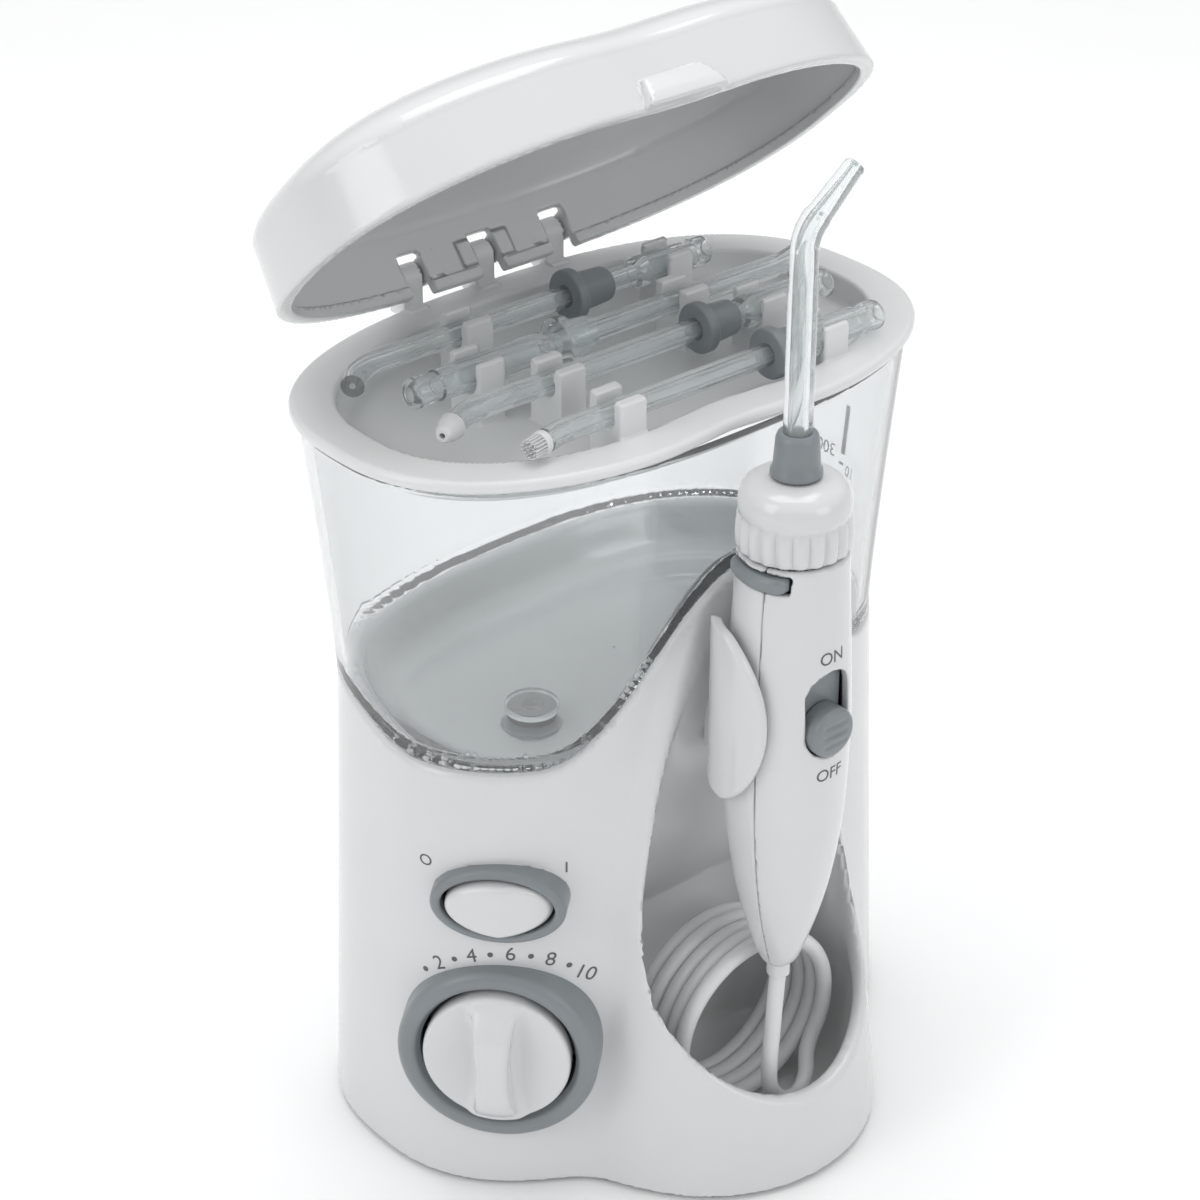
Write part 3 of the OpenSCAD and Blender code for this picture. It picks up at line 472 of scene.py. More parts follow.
softbox("top", (0.15, 0.25, 1.3), (1.0, 0.8), 7.5)
softbox("left", (-1.1, 0.1, 0.7), (0.5, 0.9), 3.2)
softbox("front", (0.35, -1.3, 0.6), (0.7, 0.7), 3.2)

floor_mesh = bpy.data.meshes.new("floor")
floor_mesh.from_pydata([(-4, -4, 0), (4, -4, 0), (4, 4, 0), (-4, 4, 0)], [], [(0, 1, 2, 3)])
floor_mesh.materials.append(material("floor", (0.93, 0.932, 0.935), (0.55, 0.65), 0.005, speck=20, bump=0.0))
floor = bpy.data.objects.new("floor", floor_mesh)
scene.collection.objects.link(floor)

# ---- Hose: the cord comes first --------------------------------------------------------------

HOSE_D = 3.6
DROP_ROUTE = [
    (0, GRIP_Y, 45.6), (-1, -56, 40), (-2.5, -57, 32), (-4, -58, 25), (-3.5, -58, 18),
    (0.5, -57.5, 12.5), (6.5, -56, 9.6), (11.5, -53.5, 10.6), (14.6, -50.5, 14)]
TAIL_ROUTE = [
    (-19.8, -33, 31), (-19.9, -32.3, 28), (-19.7, -30.4, 24.6), (-19.3, -27.6, 22), (-19, -24.6, 21)]
COIL_Z = 28.5
COIL_TURNS = 4


def coil_points():
    """The hose's turns, from the end of the drop to the start of the tail."""
    start = math.degrees(math.atan2(DROP_ROUTE[-1][2] - COIL_Z, DROP_ROUTE[-1][0]))
    end = math.degrees(math.atan2(TAIL_ROUTE[0][2] - COIL_Z, TAIL_ROUTE[0][0])) + 360 * COIL_TURNS
    t = np.linspace(0, 1, 40 * COIL_TURNS)[1:-1]
    angle = np.radians(mix(start, end, t))
    turns = t * (COIL_TURNS + 0.6)
    r = mix(20.5, 20.0, t) - 1.3 * np.sin(TAU * turns * 0.43) ** 2 * np.sin(math.pi * t)
    y = mix(DROP_ROUTE[-1][1] + 1, TAIL_ROUTE[0][1] - 0.6, t)
    lift = 0.5 * np.sin(turns * 2.1) * np.sin(math.pi * t)
    return np.stack([r * np.cos(angle), y, COIL_Z + lift + r * np.sin(angle)], axis=1)


hose_line = smooth_line(np.vstack([DROP_ROUTE, coil_points(), TAIL_ROUTE]), 6)
hose_length = length_along(hose_line)[-1]
hose_line = resample(hose_line, np.linspace(0, hose_length, int(hose_length / 1.1)))
hose = piece("hose", stitch(rings_along(hose_line, [HOSE_D / 2] * len(hose_line), 20), False), "hose_white",
             None, ["hose_drop", "hose_coil", "hose_tail"])
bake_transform(hose)

# ---- Base housing ----------------------------------------------------------------------------

FACE_AZ = math.radians(222)
KNOB_AZ = math.radians(207.4)
KNOB_Z, ROCKER_Z = 36.0, 73.0
FACE = np.array([
    [math.cos(FACE_AZ + math.pi / 2), 0, math.cos(FACE_AZ)],
    [math.sin(FACE_AZ + math.pi / 2), 0, math.sin(FACE_AZ)],
    [0, 1, 0]])


def face_point(z):
    """The point on the front left face at a height where the controls sit."""
    c, s = math.cos(KNOB_AZ), math.sin(KNOB_AZ)
    r = float(body_radius(np.array(c), np.array(s), np.array(z)))
    return np.array([r * c, r * s, z])


def on_face(x, y, z, height):
    """Local coordinates of points in the frame of the control at that height."""
    d = np.stack([np.broadcast_to(v, np.shape(x)) for v in (x, y, z)]) - face_point(height).reshape(
        (3,) + (1,) * np.ndim(x))
    return [sum(FACE[i, k] * d[i] for i in range(3)) for k in range(3)]


def outer_wall(x, y, z):
    r = np.maximum(np.hypot(x, y), 1e-6)
    return 0.96 * (r - body_radius(x / r, y / r, np.clip(z, 0, 140)))


def back_y(z):
    return -22 - 20.5 * np.sin(math.pi / 2 * unit((z - 50) / 85))


def valley_width(z):
    return 28.4 * np.maximum(1 - unit((z - 50) / 90) ** 2, 0) ** 0.8


def mouth(x, y, z):
    """The egg-shaped mouth of the valley, seen from the front."""
    low = oval(x, np.minimum(z - 50, 0), 28.4, 28)
    lean = np.minimum(valley_width(z - 0.5) - valley_width(z + 0.5), 3)
    high = (np.abs(x) - valley_width(z)) / np.sqrt(1 + lean ** 2)
    return meet(np.where(z < 50, low, high), y - MOUTH_BACK, 1.0)


def pocket(x, y, z):
    """The hollow that holds the handset's lower end and the coiled hose."""
    w = np.where(z < 30, 28.4 * unit((z - 3) / 27) ** 0.12, valley_width(z) - 0.5 * unit((z - 50) / 10))
    w = np.maximum(w, 0.4)
    back = back_y(z)
    front = np.minimum(4 - lobe_y(np.clip(z, 0, 139)), back - 3)
    middle, half = (back + front) / 2, (back - front) / 2
    v = y - middle
    side = np.where(v < 0, oval(x, v, w, half, 2), oval(x, v, w, half, 4))
    side = meet(side, outer_wall(x, y, z) + 2.4, 2)
    return meet(meet(side, 6 - z, 3.5), z - 139, 0.5)


def well(x, y, z, grow=0.0):
    """The bowl in the base's top that the tank nests in."""
    r = np.maximum(np.hypot(x, y), 1e-6)
    c, s = x / r, y / r
    rim = rim_height(c, s)
    low = tank_radius(c, s, np.full_like(r, BOWL_Z))
    t = unit((z - BOWL_Z) / (rim - BOWL_Z))
    lip = tank_radius(c, s, rim) - 3.5
    wall = np.where(t < 0.5, mix(low - 8, low - 6.25, 2 * t), mix(low - 6.25, lip, 2 * t - 1))
    return meet(r - wall - grow, BOWL_Z - z - grow, 6)


def housing(x, y, z):
    r = np.maximum(np.hypot(x, y), 1e-6)
    outer = outer_wall(x, y, z)
    rim = rim_height(x / r, y / r)
    f = meet(outer, 0.75 * (z - rim), 1.0)
    f = cut(f, well(x, y, z), 1.2)
    f = meet(f, 1 - z, 0.8)
    hollow = np.maximum(outer + WALL, z - BOWL_Z + WALL)
    opening = join(pocket(x, y, z), mouth(x, y, z), 2.5)
    hollow = np.maximum(hollow, 3.0 - opening)
    f = np.maximum(f, -hollow)
    f = cut(f, opening, 1.6 + 2.9 * unit((z - 70) / 55))
    a, b, c = on_face(x, y, z, KNOB_Z)
    f = cut(f, np.maximum(np.hypot(a, b) - 19.5, -12 - c), 0.5)
    a, b, c = on_face(x, y, z, ROCKER_Z)
    f = cut(f, np.maximum(oval(a, b, 13, 7.9), -12 - c), 0.5)
    valve_port = np.maximum(np.hypot(x - VALVE_X, y - VALVE_Y) - 6.1, 90 - z)
    f = cut(f, valve_port, 0.4)
    gland = np.maximum(np.hypot(x - GLAND_X, z - GLAND_Z) - 6.1, 20 - y)
    f = cut(f, gland, 0.4)
    fitting = np.maximum(np.hypot(x - FITTING_X, z - FITTING_Z) - 3.1, np.abs(y - FITTING_Y) - 10)
    return cut(f, fitting, 0.2)


piece("base_shell", skin(housing, (-67.5, -71.5, 0.5), (67.5, 44, 138), 1.25), "shell_white", "base",
      ["base_housing"])

# ---- Handset holder --------------------------------------------------------------------------


def cradle(x, y, z):
    """Two thin wings round the handset, joined low at the back."""
    v = y - GRIP_Y
    band = np.abs(np.hypot(x, v) - 14.8) - 1.15
    leaf = np.sqrt(np.maximum(1 - ((z - 114.5) / 19.6) ** 2, 0))
    reach = np.where(x < 0, 5 - 12.2 * leaf, 5 - 6.6 * leaf)
    f = meet(band, 0.8 * (reach - v), 0.9)
    f = meet(f, np.abs(z - 114.5) - 19.4, 0.8)
    f = cut(f, block(x, v, z, (0, 18, 124), (11.5, 9.5, 20), 0.5), 0.6)
    return cut(f, block(x, v, z, (0, 16.2, 103), (8.1, 3.1, 5.2), 0.1), 0.2)


def bracket(x, y, z):
    f = block(x, y, z, (0, -40.55, 111), (8, 1.75, 13), 0.8)
    return cut(f, block(x, y, z, (0, -43.3, 111), (5.2, 1.6, 10.5), 0.5), 0.4)


piece("cradle", skin(cradle, (-16.2, -63, 94.5), (16.2, -39, 134.5), 0.6), "shell_white", "base",
      ["holder_cradle"])
piece("bracket", skin(bracket, (-8.2, -42.5, 97.8), (8.2, -38.6, 124.2), 0.6), "shell_white", "base",
      ["holder_bracket"])

# ---- Knob and rocker -------------------------------------------------------------------------


def knob(x, y, z):
    r = np.hypot(x, y)
    disc = meet(r - 16, np.abs(z - 1.2) - 2.2, 1.1)
    dish = np.hypot(np.hypot(x, y), z - 60) - 57.2
    disc = cut(disc, dish, 0.4)
    ridge = meet(np.abs(x) - 3.3 - 2.2 * (y / 15) ** 2, np.abs(z - 3) - 7, 1.3)
    crown = np.sqrt(x * x + y * y + (z + 9.1) ** 2) - 19.9
    ridge = meet(ridge, crown, 1.2)
    f = join(disc, ridge, 2.4)
    f = meet(f, r - 16, 0.8)
    stem = np.maximum(r - 3, np.abs(z + 4.5) - 4.4)
    return np.minimum(f, stem)


def rocker(x, y, z):
    c, s = math.cos(math.radians(6)), math.sin(math.radians(6))
    u, w = c * x - s * (z + 1), s * x + c * (z + 1) - 1
    top = w + 0.24 * (np.sqrt(u * u + 0.7) - 0.8) - 4.9
    f = meet(oval(u, y, 11.2, 6.2), 0.985 * top, 1.3)
    return meet(f, -2.2 - w, 0.6)


def rocker_ring(x, y, z):
    f = meet(oval(x, y, 14.2, 9.05), z - 2.7, 1.4)
    f = cut(f, oval(x, y, 11.9, 6.8), 0.8)
    return meet(f, -5 - z, 0.3)


knob_at, rocker_at = face_point(KNOB_Z), face_point(ROCKER_Z)
piece("knob_cap", turn(skin(knob, (-16.2, -16.2, -9), (16.2, 16.2, 11), 0.55), FACE, to=knob_at),
      "shell_white", "pressure_knob", ["knob"])
piece("rocker_cap", turn(skin(rocker, (-12, -6.4, -5), (12, 6.4, 6), 0.4), FACE, to=rocker_at),
      "shell_white", "power_rocker", ["rocker"])
piece("rocker_ring", turn(skin(rocker_ring, (-14.4, -9.3, -5.2), (14.4, 9.3, 3), 0.5), FACE, to=rocker_at),
      "accent_grey", "base", ["rocker_bezel"])
ring_outline = [(16.6, -8), (21.4, -8)] + arc(19.2, 0.8, 2.2, 0, 90, 10) + arc(18.6, 1.6, 1.4, 90, 150, 5) + [
    (17.2, 1.6), (16.6, 0.9)]
piece("knob_ring", turned(ring_outline, knob_at, FACE[:, 2], 128), "accent_grey", "base", ["knob_bezel"])

# ---- Tank ------------------------------------------------------------------------------------


def tank(x, y, z):
    r = np.maximum(np.hypot(x, y), 1e-6)
    c, s = x / r, y / r
    rim = rim_height(c, s)
    nest = well(x, y, z, -0.9)
    side = 0.97 * (r - tank_radius(c, s, np.clip(z, 0, TANK_TOP)))
    above = meet(side, 0.75 * (rim + 0.6 - z), 0.8)
    outside = np.maximum(join(nest, above, 2.2), side)
    f = np.maximum(outside, -(outside + TANK_WALL))
    f = meet(f, z - TANK_TOP, 0.7)
    return cut(f, np.maximum(np.hypot(x - VALVE_X, y - VALVE_Y) - 3.4, 90 - z), 0.3)


piece("tank_shell", skin(tank, (-69, -42.5, 98), (69, 42.5, 169.2), 1.06), "clear_plastic",
      "water_tank", ["tank"])

# ---- Tray ------------------------------------------------------------------------------------


def undent(x, y):
    """y with the rim's front dent taken out."""
    return y - np.where(y < 0, 3 * np.exp(-(x / 18) ** 2), 0)


def rim_outline(x, y, inset):
    return oval(x, undent(x, y), 70 - inset, 43.5 - inset, 2.5)


def clip(x, y, z, cx, cy, r):
    """A moulded clip: a low block with a fin each side of a round seat for the tube."""
    f = block(x, y, z, (cx, cy, 172.2), (3.4, 4.9, 7.0), 0.5)
    seat = np.hypot(y - cy, z - TIP_Z) - r
    slot = np.maximum(np.abs(y - cy) - 0.9 * r, TIP_Z - z)
    return cut(f, np.minimum(seat, slot), 0.35)


def lug(x, y, z, cx):
    """An upright hinge lug with its pin hole."""
    eye = np.hypot(y - HINGE_Y, z - HINGE_Z) - 2.9
    post = block(x, y, z, (cx, HINGE_Y, 174.5), (2.5, 2.9, 3.6), 0.3)
    f = np.minimum(np.maximum(eye, np.abs(x - cx) - 2.5), post)
    f = np.minimum(f, block(x, y, z, (cx, 42.9, 171.2), (2.5, 3.9, 1.3), 0.3))
    return np.maximum(f, 1.25 - np.hypot(y - HINGE_Y, z - HINGE_Z))


def turned_slot(x, y, cx, cy, a, b):
    c, s = math.cos(math.radians(-35)), math.sin(math.radians(-35))
    u, v = (x - cx) * c + (y - cy) * s, -(x - cx) * s + (y - cy) * c
    return oval(u, v, a, b)


def tray(x, y, z):
    flange = meet(rim_outline(x, y, 0), np.abs(z - 170.65) - 1.35, 1.2)
    pan = meet(rim_outline(x, y, 7), np.abs(z - 167.6) - 3.2, 1.5)
    f = join(flange, pan, 0.8)
    f = cut(f, meet(rim_outline(x, y, 9), 166 - z, 2.2), 0.9)
    f = cut(f, turned_slot(x, y, -50, -17, 7, 2.4), 0.5)
    f = cut(f, turned_slot(x, y, 50, 19, 5, 1.6), 0.4)
    for k, row in enumerate(TIP_ROWS):
        flip = -1 if k == 1 else 1
        f = join(f, clip(x, y, z, -22 * flip, row, 2.7), 0.5)
        f = join(f, clip(x, y, z, 32 * flip, row, 3.8), 0.5)
    for cx in (-19, 0, 19):
        f = np.minimum(f, lug(x, y, z, cx))
    return f


piece("tray_pan", skin(tray, (-70, -43.6, 164.3), (70, 47, 181), 0.75), "tray_white", "tip_tray", ["tray"])

# ---- Lid -------------------------------------------------------------------------------------


def lid_form(x, y, z, inset, rise):
    """The lid's domed form, solid: upright sides that lean in, then a low dome."""
    up = np.clip((z - LID_BASE) / 13.2, 0, 1)
    side = rim_outline(x, y, 0.3 + 1.4 * up + inset)
    e = np.maximum(rim_outline(x, y, 0) + 40, 0)
    v = np.maximum(z - LID_BASE - 13.2, 0)
    reach = 38.3 - inset
    g = np.hypot(e / reach, v / rise)
    fall = np.maximum(np.hypot(e / reach ** 2, v / rise ** 2) / np.maximum(g, 1e-3), 1e-3)
    dome = np.where(v > 0, (g - 1) / fall, -30)
    return np.maximum(side, dome)


def ear(x, y, z, cx):
    eye = np.hypot(y - HINGE_Y, z - HINGE_Z) - 2.9
    arm = np.maximum(np.abs(y - HINGE_Y + 2) - 2, np.abs(z - HINGE_Z) - 2.9)
    return np.maximum(np.minimum(eye, arm), np.abs(x - cx) - 1.95)


def lid(x, y, z):
    f = meet(lid_form(x, y, z, 0, 11.8), LID_BASE - z, 0.6)
    f = cut(f, lid_form(x, y, z, 2.0, 9.8), 0.6)
    ledge = meet(np.abs(rim_outline(x, y, 2.6)) - 0.9, np.abs(z - LID_BASE - 1.2) - 1.2, 0.4)
    f = join(f, ledge, 0.5)
    width = 10 - 0.42 * np.clip(z - LID_BASE, 0, 6.5)
    tab = meet(np.abs(x) - width, np.abs(y + 40.8) - 2.5, 0.5)
    tab = meet(tab, np.abs(z - LID_BASE - 3.2) - 3.2, 0.6)
    tab = meet(tab, 0.41 * (z - LID_BASE - 1.5) - 0.91 * (y + 43.3), 0.6)
    f = join(f, tab, 0.4)
    for cx in (-19, 0, 19):
        f = cut(f, block(x, y, z, (cx, 42.8, LID_BASE + 3.75), (3, 6, 5.75), 0.3), 0.3)
        for side in (-1, 1):
            f = np.minimum(f, ear(x, y, z, cx + side * 4.9))
    return np.maximum(f, 1.22 - np.hypot(y - HINGE_Y, z - HINGE_Z))


OPEN = np.array(Matrix.Rotation(math.radians(-LID_OPEN), 3, "X"))
piece("lid_cover", turn(skin(lid, (-70, -43.6, 172), (70, 47, 197.5), 0.8), OPEN, (0, HINGE_Y, HINGE_Z)),
      "shell_white", "tank_lid", ["lid"])

# ---- Stored tips -----------------------------------------------------------------------------


def bent_path(x1, x0, angle, radius, end):
    """From x1 along -X to x0, then a bend towards the front and a straight end."""
    a = np.radians(np.linspace(0, angle, 14))
    bend = np.stack([x0 - radius * np.sin(a), -radius * (1 - np.cos(a)), 0 * a], axis=1)
    tail = bend[-1] + end * np.array([-math.cos(a[-1]), -math.sin(a[-1]), 0])
    return np.vstack([[x1, 0, 0], bend, tail])


def at_row(shape, k):
    points, faces, *rest = shape
    return (points + [0, TIP_ROWS[k], TIP_Z], faces, *rest)


def tip_tube(name, k, x1, shoulder, bend, body):
    """Clear tip: a wide grip end, a narrow tube and a bent end."""
    path = bent_path(x1, *bend)
    total = length_along(path)[-1]
    wide = x1 - shoulder
    outer = [(0, 2.0), *GRIP_END, (wide - 2.5, 3.48), (wide - 0.6, 3.3), (wide, TUBE_R),
             (total - 0.5, TUBE_R), (total, TUBE_R - 0.4)]
    inner = [(0, 1.7), (wide - 4, 1.7), (wide - 1, 1.0), (total - 4, 0.9), (total, 0.6)]
    piece(name, at_row(tube(path, outer, inner), k), "clear_tips", body, [name])


def collar(name, k, sizes, look, body):
    """Collar on a tip: a rounded flange 2.5 wide, then a cone. Its two ends are places along X."""
    start, end, cone_r, flange_r, end_r = sizes
    bore = TUBE_R + 0.02
    mid = start + 2.5
    outline = [(bore, start)]
    outline += arc(flange_r - 0.5, start + 0.5, 0.5, -90, 0, 5)
    outline += arc(flange_r - 0.5, mid - 0.5, 0.5, 0, 90, 5)
    outline += [(cone_r + 0.1, mid), (cone_r - 0.05, mid + 1.2), (end_r + 0.2, end - 1),
                (end_r, end - 0.3), (end_r - 0.3, end), (bore, end)]
    piece(name, at_row(turned(outline, (0, 0, 0), (1, 0, 0), 64), k), look, body, [name])


tip_tube("tip_a_tube", 0, 43, 22, (-44, 46, 12, 4), "stored_tip_a")
tip_tube("tip_c_tube", 2, 51, 26, (-42, 28, 12, 3), "stored_tip_c")
tip_tube("tip_d_tube", 3, 48, 26, (-34, 12, 20, 3), "stored_tip_d")
spoon = tube([(-49, 0, 0), (56, 0, 0)],
             [(0, 2.0), *GRIP_END, (33, 3.48), (35, TUBE_R), (98.5, TUBE_R), (102, 3.0),
              (104.4, 3.4), (105, 3.1)],
             [(0, 1.7), (31, 1.7), (34, 1.0), (98, 0.9), (103, 1.6), (105, 2.0)])
piece("tip_b_tube", at_row(spoon, 1), "clear_tips", "stored_tip_b", ["tip_b_tube"])
collar("tip_a_collar", 0, (4, 15, 4.2, 5.6, 3.6), "accent_grey", "stored_tip_a")
collar("tip_b_collar", 1, (-12, -3, 4.0, 5.4, 3.4), "clear_tips", "stored_tip_b")
collar("tip_c_collar", 2, (14, 24, 4.2, 5.4, 3.6), "accent_grey", "stored_tip_c")
collar("tip_d_collar", 3, (17, 25.5, 4.4, 5.4, 3.6), "accent_grey", "stored_tip_d")


def bend_end(x0, angle, radius, along):
    a = math.radians(angle)
    way = np.array([-math.cos(a), -math.sin(a), 0])
    return np.array([x0 - radius * math.sin(a), -radius * (1 - math.cos(a)), 0]) + along * way, way


nozzle_from, nozzle_way = bend_end(-42, 28, 12, 3)
nozzle = tube([nozzle_from, nozzle_from + 5 * nozzle_way],
              [(0, 2.5), (0.4, 2.8), (2.2, 2.5), (4.4, 1.75), (5, 1.3)], [(0, 0.7), (5, 0.6)], 32, 0.5)
piece("tip_c_nozzle", at_row(nozzle, 2), "shell_white", "stored_tip_c", ["tip_c_nozzle"])


def brush():
    """Bristle tufts in a short ferrule at the end of the brush tip."""
    start, way = bend_end(-34, 12, 20, 3)
    ferrule = [(0, 2.1), (0.3, 2.4), (1.3, 2.4), (1.6, 2.2)]
    points, faces = tube([start, start + 1.6 * way], ferrule, None, 24, 0.4)
    side = np.cross(way, [0, 0, 1])
    everything, every_face = [points], list(faces)
    count = len(points)
    for r, n in ((0, 1), (0.75, 6), (1.45, 12), (1.95, 18)):
        for i in range(n):
            t = TAU * i / n + r
            root = start + 1.3 * way + r * (math.cos(t) * side + math.sin(t) * np.array([0, 0, 1]))
            tip = root + (3.7 - 0.25 * (i % 3)) * way
            p, f = tube([root, tip], [(0, 0.16), (3, 0.14)], None, 6, 2)
            everything.append(p)
            every_face += [tuple(v + count for v in face) for face in f]
            count += len(p)
    return np.vstack(everything), every_face


piece("tip_d_brush", at_row(brush(), 3), "hose_white", "stored_tip_d", ["tip_d_brush"])

# ---- Handset ---------------------------------------------------------------------------------

GRIP = np.array([
    (2.6, 49), (4.2, 51), (6.3, 57), (8.6, 65), (10.3, 73), (11.6, 82), (12.4, 91), (12.8, 103), (12.8, 113),
    (12.4, 124), (11.7, 138), (11.2, 149.2)])
grip_fine = smooth_line([(r, h, 0) for r, h in GRIP], 10)
GRIP_WALL = 1.8
SLIDER_R, SLIDER_Z = 5.4, 112.4
EJECT_Z = 144.6
SEAM = math.radians(287)


def grip_radius(z):
    return np.interp(z, grip_fine[:, 1], grip_fine[:, 0])


def grip(x, y, z, front):
    """One half of the handset's shell, split along the seam."""
    v = y - GRIP_Y
    r = grip_radius(z)
    lean = (grip_radius(z - 1) - grip_radius(z + 1)) / 2
    outer = (np.hypot(x, v) - r) / np.sqrt(1 + lean ** 2)
    f = meet(outer, np.abs(z - 99.1) - 50.1, 0.7)
    f = np.maximum(f, -(outer + GRIP_WALL))
    up = np.abs(z - SLIDER_Z - 4)
    stadium = np.hypot(x, up - np.minimum(up, 4)) - SLIDER_R - 0.3
    f = cut(f, np.maximum(stadium, v + 8), 0.5)
    f = cut(f, block(x, v, z, (-10.75, 0, EJECT_Z + 1.65), (5.25, 7.8, 2.05), 0.5), 0.4)
    side = x * math.cos(SEAM) + v * math.sin(SEAM)
    return meet(f, (-side if front else side) + 0.03, 0.3)


for half, is_front in (("handset_front", True), ("handset_back", False)):
    shape = skin(lambda x, y, z: grip(x, y, z, is_front),
                 (-13, GRIP_Y - 13, 49), (13, GRIP_Y + 13, 149.3), 0.6)
    piece(half, shape, "shell_white", "handset", [half])


def dial():
    """Rotating collar with a scalloped skirt: radius, height and depth of the scallops at each ring."""
    sides, lobes = 320, 20
    t = np.arange(sides) * TAU / sides
    wave = 0.95 * (1 - np.abs(np.cos(t * lobes / 2)))
    outline = [
        (6.2, 0.1, 0), (10.2, 0, 0), (10.9, 0.3, 0.6), (11.6, 1.0, 1), (11.7, 3.5, 1), (11.6, 6.2, 1),
        (11.3, 7.2, 0.8), (10.95, 7.8, 0.2), (11.15, 8.2, 0), (11.3, 9.4, 0), (11.2, 11, 0),
        (10.8, 12.4, 0), (10.1, 13.6, 0), (9.0, 14.4, 0), (7.6, 14.9, 0), (5.2, 15.3, 0),
        (3.2, 15.4, 0), (2.96, 15.2, 0), (2.96, 3.2, 0), (6.0, 3.0, 0)]
    rings = []
    for r, h, w in outline:
        radius = r - w * wave
        rings.append(np.stack([radius * np.cos(t), GRIP_Y + radius * np.sin(t), 0 * t + 149.6 + h], axis=1))
    return stitch(rings, True)


piece("dial_collar", dial(), "shell_white", "dial", ["dial_collar"], 60)


def slider(x, y, z):
    v, w = y - GRIP_Y, z - SLIDER_Z
    r = np.hypot(x, w)
    face = np.sqrt(x * x + w * w + (v - 16) ** 2) - 30.2
    f = meet(r - SLIDER_R, face, 0.9)
    f = meet(f, v + 9, 0.2)
    for ridge in (-2.2, 0, 2.2):
        groove = np.hypot(np.maximum(np.abs(x) - 2.6, 0), np.hypot(w - ridge, (v + 14.5) * 0.9)) - 0.62
        f = cut(f, groove, 0.3)
    return f


def eject_bar(x, y, z):
    v = y - GRIP_Y
    r = np.hypot(x, v)
    f = meet(r - 12.6, np.abs(z - EJECT_Z - 1.65) - 1.65, 1.2)
    f = meet(f, 8.6 - r, 0.3)
    f = meet(f, np.abs(v) - 7.3, 1.2)
    return np.maximum(f, x + 7.5)


piece("pause_slider", skin(slider, (-5.6, GRIP_Y - 14.6, 106.8), (5.6, GRIP_Y - 8.8, 118), 0.35),
      "accent_grey", "pause_button", ["pause_slider"])
piece("eject_bar", skin(eject_bar, (-12.8, GRIP_Y - 7.5, 144.4), (-7.3, GRIP_Y + 7.5, 148.1), 0.4),
      "accent_grey", "tip_eject", ["eject_button"])

jet_bend = np.radians(np.linspace(0, 50, 16))
jet_way = np.array([math.sin(jet_bend[-1]), 0, math.cos(jet_bend[-1])])
jet_arc = np.stack([7 * (1 - np.cos(jet_bend)), 0 * jet_bend + GRIP_Y, 212 + 7 * np.sin(jet_bend)], axis=1)
jet_path = np.vstack([[0, GRIP_Y, 140], jet_arc, jet_arc[-1] + 13 * jet_way])
jet_length = length_along(jet_path)[-1]
piece("fitted_tip_tube", tube(
    jet_path,
    [(0, 2.9), (62, 2.9), (66, 2.75), (jet_length - 12.6, 2.75), (jet_length - 11.6, 2.5),
     (jet_length - 0.5, 2.1), (jet_length, 1.8)],
    [(0, 1.3), (66, 1.3), (jet_length - 13, 1.1), (jet_length - 3, 0.6), (jet_length, 0.55)], 36, 0.7),
    "clear_tips", "fitted_tip", ["fitted_tip_tube"])
skirt_outline = [(2.9, 0), (4.9, 0), (5.2, 0.4), (5.15, 1.2), (4.7, 1.9), (4.55, 4.5), (4.3, 7.8), (4.0, 8.7),
                 (3.7, 9), (2.9, 9)]
piece("fitted_tip_skirt", turned(skirt_outline, (0, GRIP_Y, 165.3), (0, 0, 1), 72), "accent_grey",
      "fitted_tip", ["fitted_tip_skirt"])

# ---- Printed marks: generic switch, scale and dial marks -------------------------------------


def laid_on(points, surface, normal):
    """Points moved along the normal until they lie on the surface."""
    for _ in range(12):
        points = points - 0.9 * surface(*points.T)[:, None] * normal
    return points


def printed(name, text, size, origin, right, up, surface, body, thick=0.05):
    """Raised print: text laid on a surface, projected along the label's normal."""
    right, up, origin = (np.array(v, float) for v in (right, up, origin))
    normal = np.cross(right, up)
    curve = bpy.data.curves.new(name, "FONT")
    curve.body, curve.size = text, size
    curve.align_x, curve.align_y = "CENTER", "CENTER"
    curve.extrude = thick / 2
    curve.resolution_u = 6
    made = bpy.data.objects.new(name + "_text", curve)
    scene.collection.objects.link(made)
    mesh = bpy.data.meshes.new_from_object(made.evaluated_get(bpy.context.evaluated_depsgraph_get()))
    flat = np.array([v.co for v in mesh.vertices])
    faces = [tuple(p.vertices) for p in mesh.polygons]
    bpy.data.objects.remove(made)
    points = laid_on(origin + flat[:, :1] * right + flat[:, 1:2] * up, surface, normal)
    piece(name, (points + (flat[:, 2:] + thick / 2 + 0.01) * normal, faces), "print_grey", body)


def dot_mark(name, place, normal, right, surface, body, r=0.6):
    """A small round printed dot."""
    right, normal = np.array(right, float), np.array(normal, float)
    up = np.cross(normal, right)
    t = np.arange(20) * TAU / 20
    rings = []
    for h in (0.01, 0.06):
        ring = np.array(place) + r * (np.cos(t)[:, None] * right + np.sin(t)[:, None] * up)
        rings.append(laid_on(ring, surface, normal) + h * normal)
    piece(name, stitch(rings, False), "print_grey", body)


MARK_R = 24


def round_knob(angle):
    """A place on the ring of marks round the knob."""
    a = math.radians(angle)
    return knob_at + FACE @ [1 + MARK_R * math.cos(a), MARK_R * math.sin(a), 0]


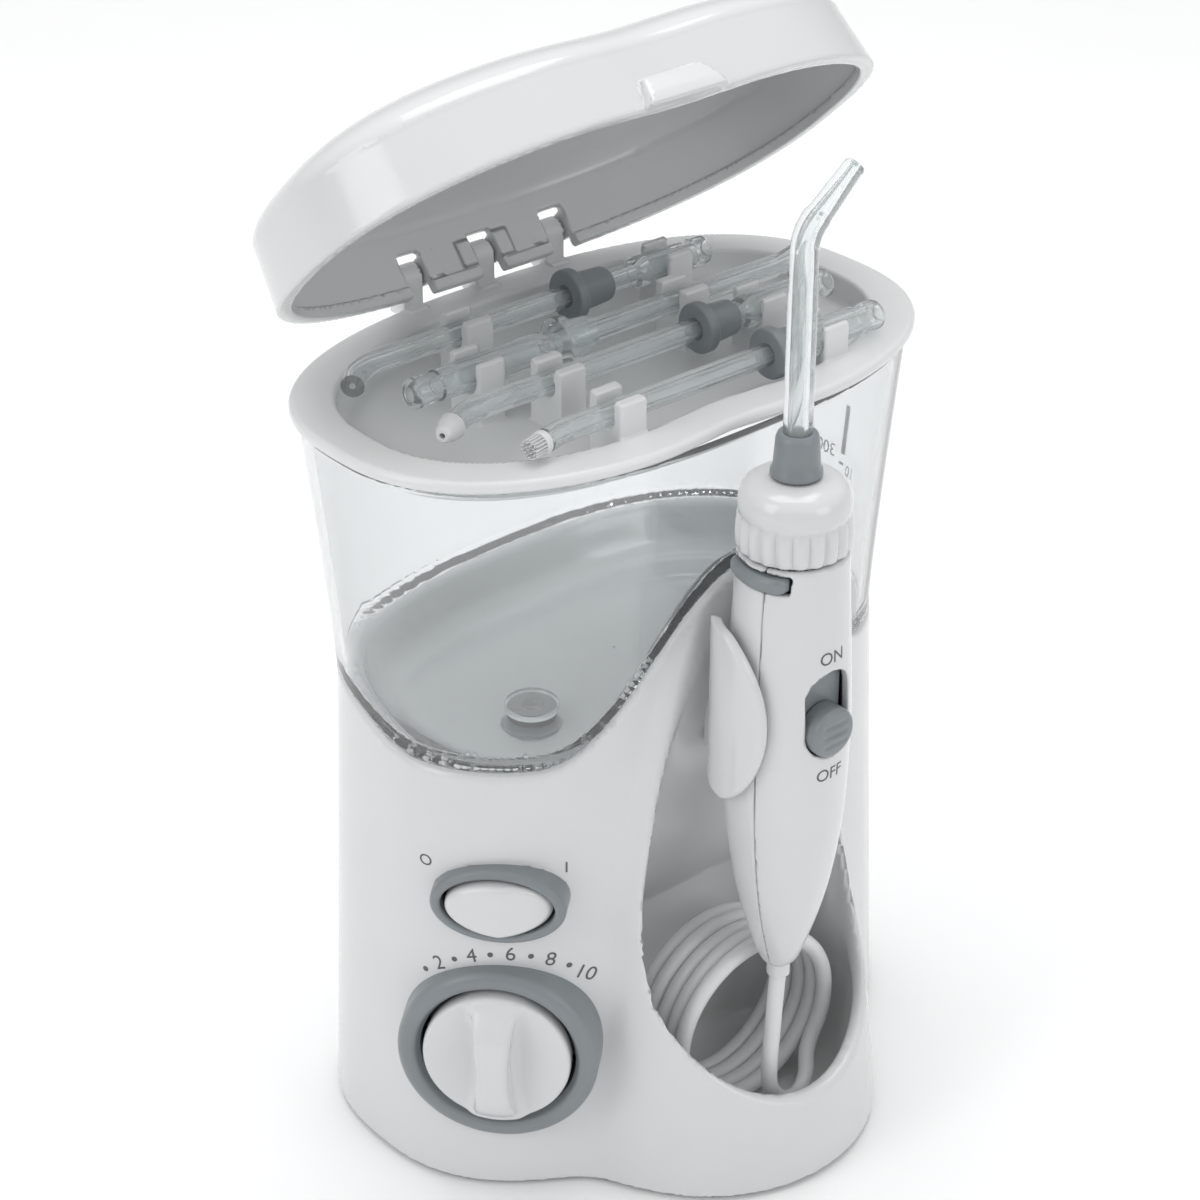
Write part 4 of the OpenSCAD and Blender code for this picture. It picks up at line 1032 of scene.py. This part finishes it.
for number, angle in (("2", 124.5), ("4", 105.5), ("6", 86), ("8", 66), ("10", 46)):
    lean = math.radians(0.6 * (angle - 86))
    right = FACE @ [math.cos(lean), math.sin(lean), 0]
    up = FACE @ [-math.sin(lean), math.cos(lean), 0]
    printed("mark_" + number, number, 4.6, round_knob(angle), right, up, outer_wall, "base")
for k, angle in enumerate((134, 115, 96, 76, 56)):
    dot_mark(f"mark_dot_{k + 1}", round_knob(angle), FACE[:, 2], FACE[:, 0], outer_wall, "base")
for name, letter, x, y in (("mark_off_side", "O", -15.5, 7.2), ("mark_on_side", "I", 13.4, 6.8)):
    printed(name, letter, 3.6, rocker_at + FACE @ [x, y, 0], FACE[:, 0], FACE[:, 1], outer_wall, "base")


def grip_surface(x, y, z):
    return np.hypot(x, y - GRIP_Y) - grip_radius(z)


FRONT = ((1, 0, 0), (0, 0, 1))
printed("mark_on", "ON", 3.9, (0, GRIP_Y - 13, 129.4), *FRONT, grip_surface, "handset")
printed("mark_off", "OFF", 3.9, (0, GRIP_Y - 13, 102.6), *FRONT, grip_surface, "handset")


def tank_side(x, y, z):
    r = np.hypot(x, y)
    return r - tank_radius(x / r, y / r, z)


END = ((0, 1, 0), (0, 0, 1))
printed("mark_300", "300", 4.2, (66, 1.2, 128.5), *END, tank_side, "water_tank")
printed("mark_10", "10", 3.6, (66, -8.2, 125.6), *END, tank_side, "water_tank")
printed("mark_line", "l", 17, (66, -4.8, 134), *END, tank_side, "water_tank")
printed("mark_tick", "-", 7, (66, -4.6, 127.2), *END, tank_side, "water_tank")

# ---- CAD nodes that keep their shape ---------------------------------------------------------

CARRIED = {
    "shell_white": ["bottom_plate", "hose_boot"],
    "accent_grey": ["power_gland", "regulator_body", "pump_head", "inlet_port", "hose_fitting", "piston",
                    "slider_track", "swivel_ring"],
    "steel": ["base_screws", "motor", "motor_bracket", "motor_pinion", "gear_axle", "pump_body", "hinge_pins",
              "eject_spring"],
    "black_rubber": ["feet", "valve_seal"],
    "natural_plastic": ["drive_gear", "connecting_rod"],
    "clear_tips": ["tank_valve", "inlet_tube", "outlet_tube"],
    "circuit_board": ["circuit_board"],
    "black_plastic": ["switch_body"],
}
for look, names in CARRIED.items():
    for name in names:
        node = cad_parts[name]
        node.data.materials.clear()
        node.data.materials.append(LOOKS[look])
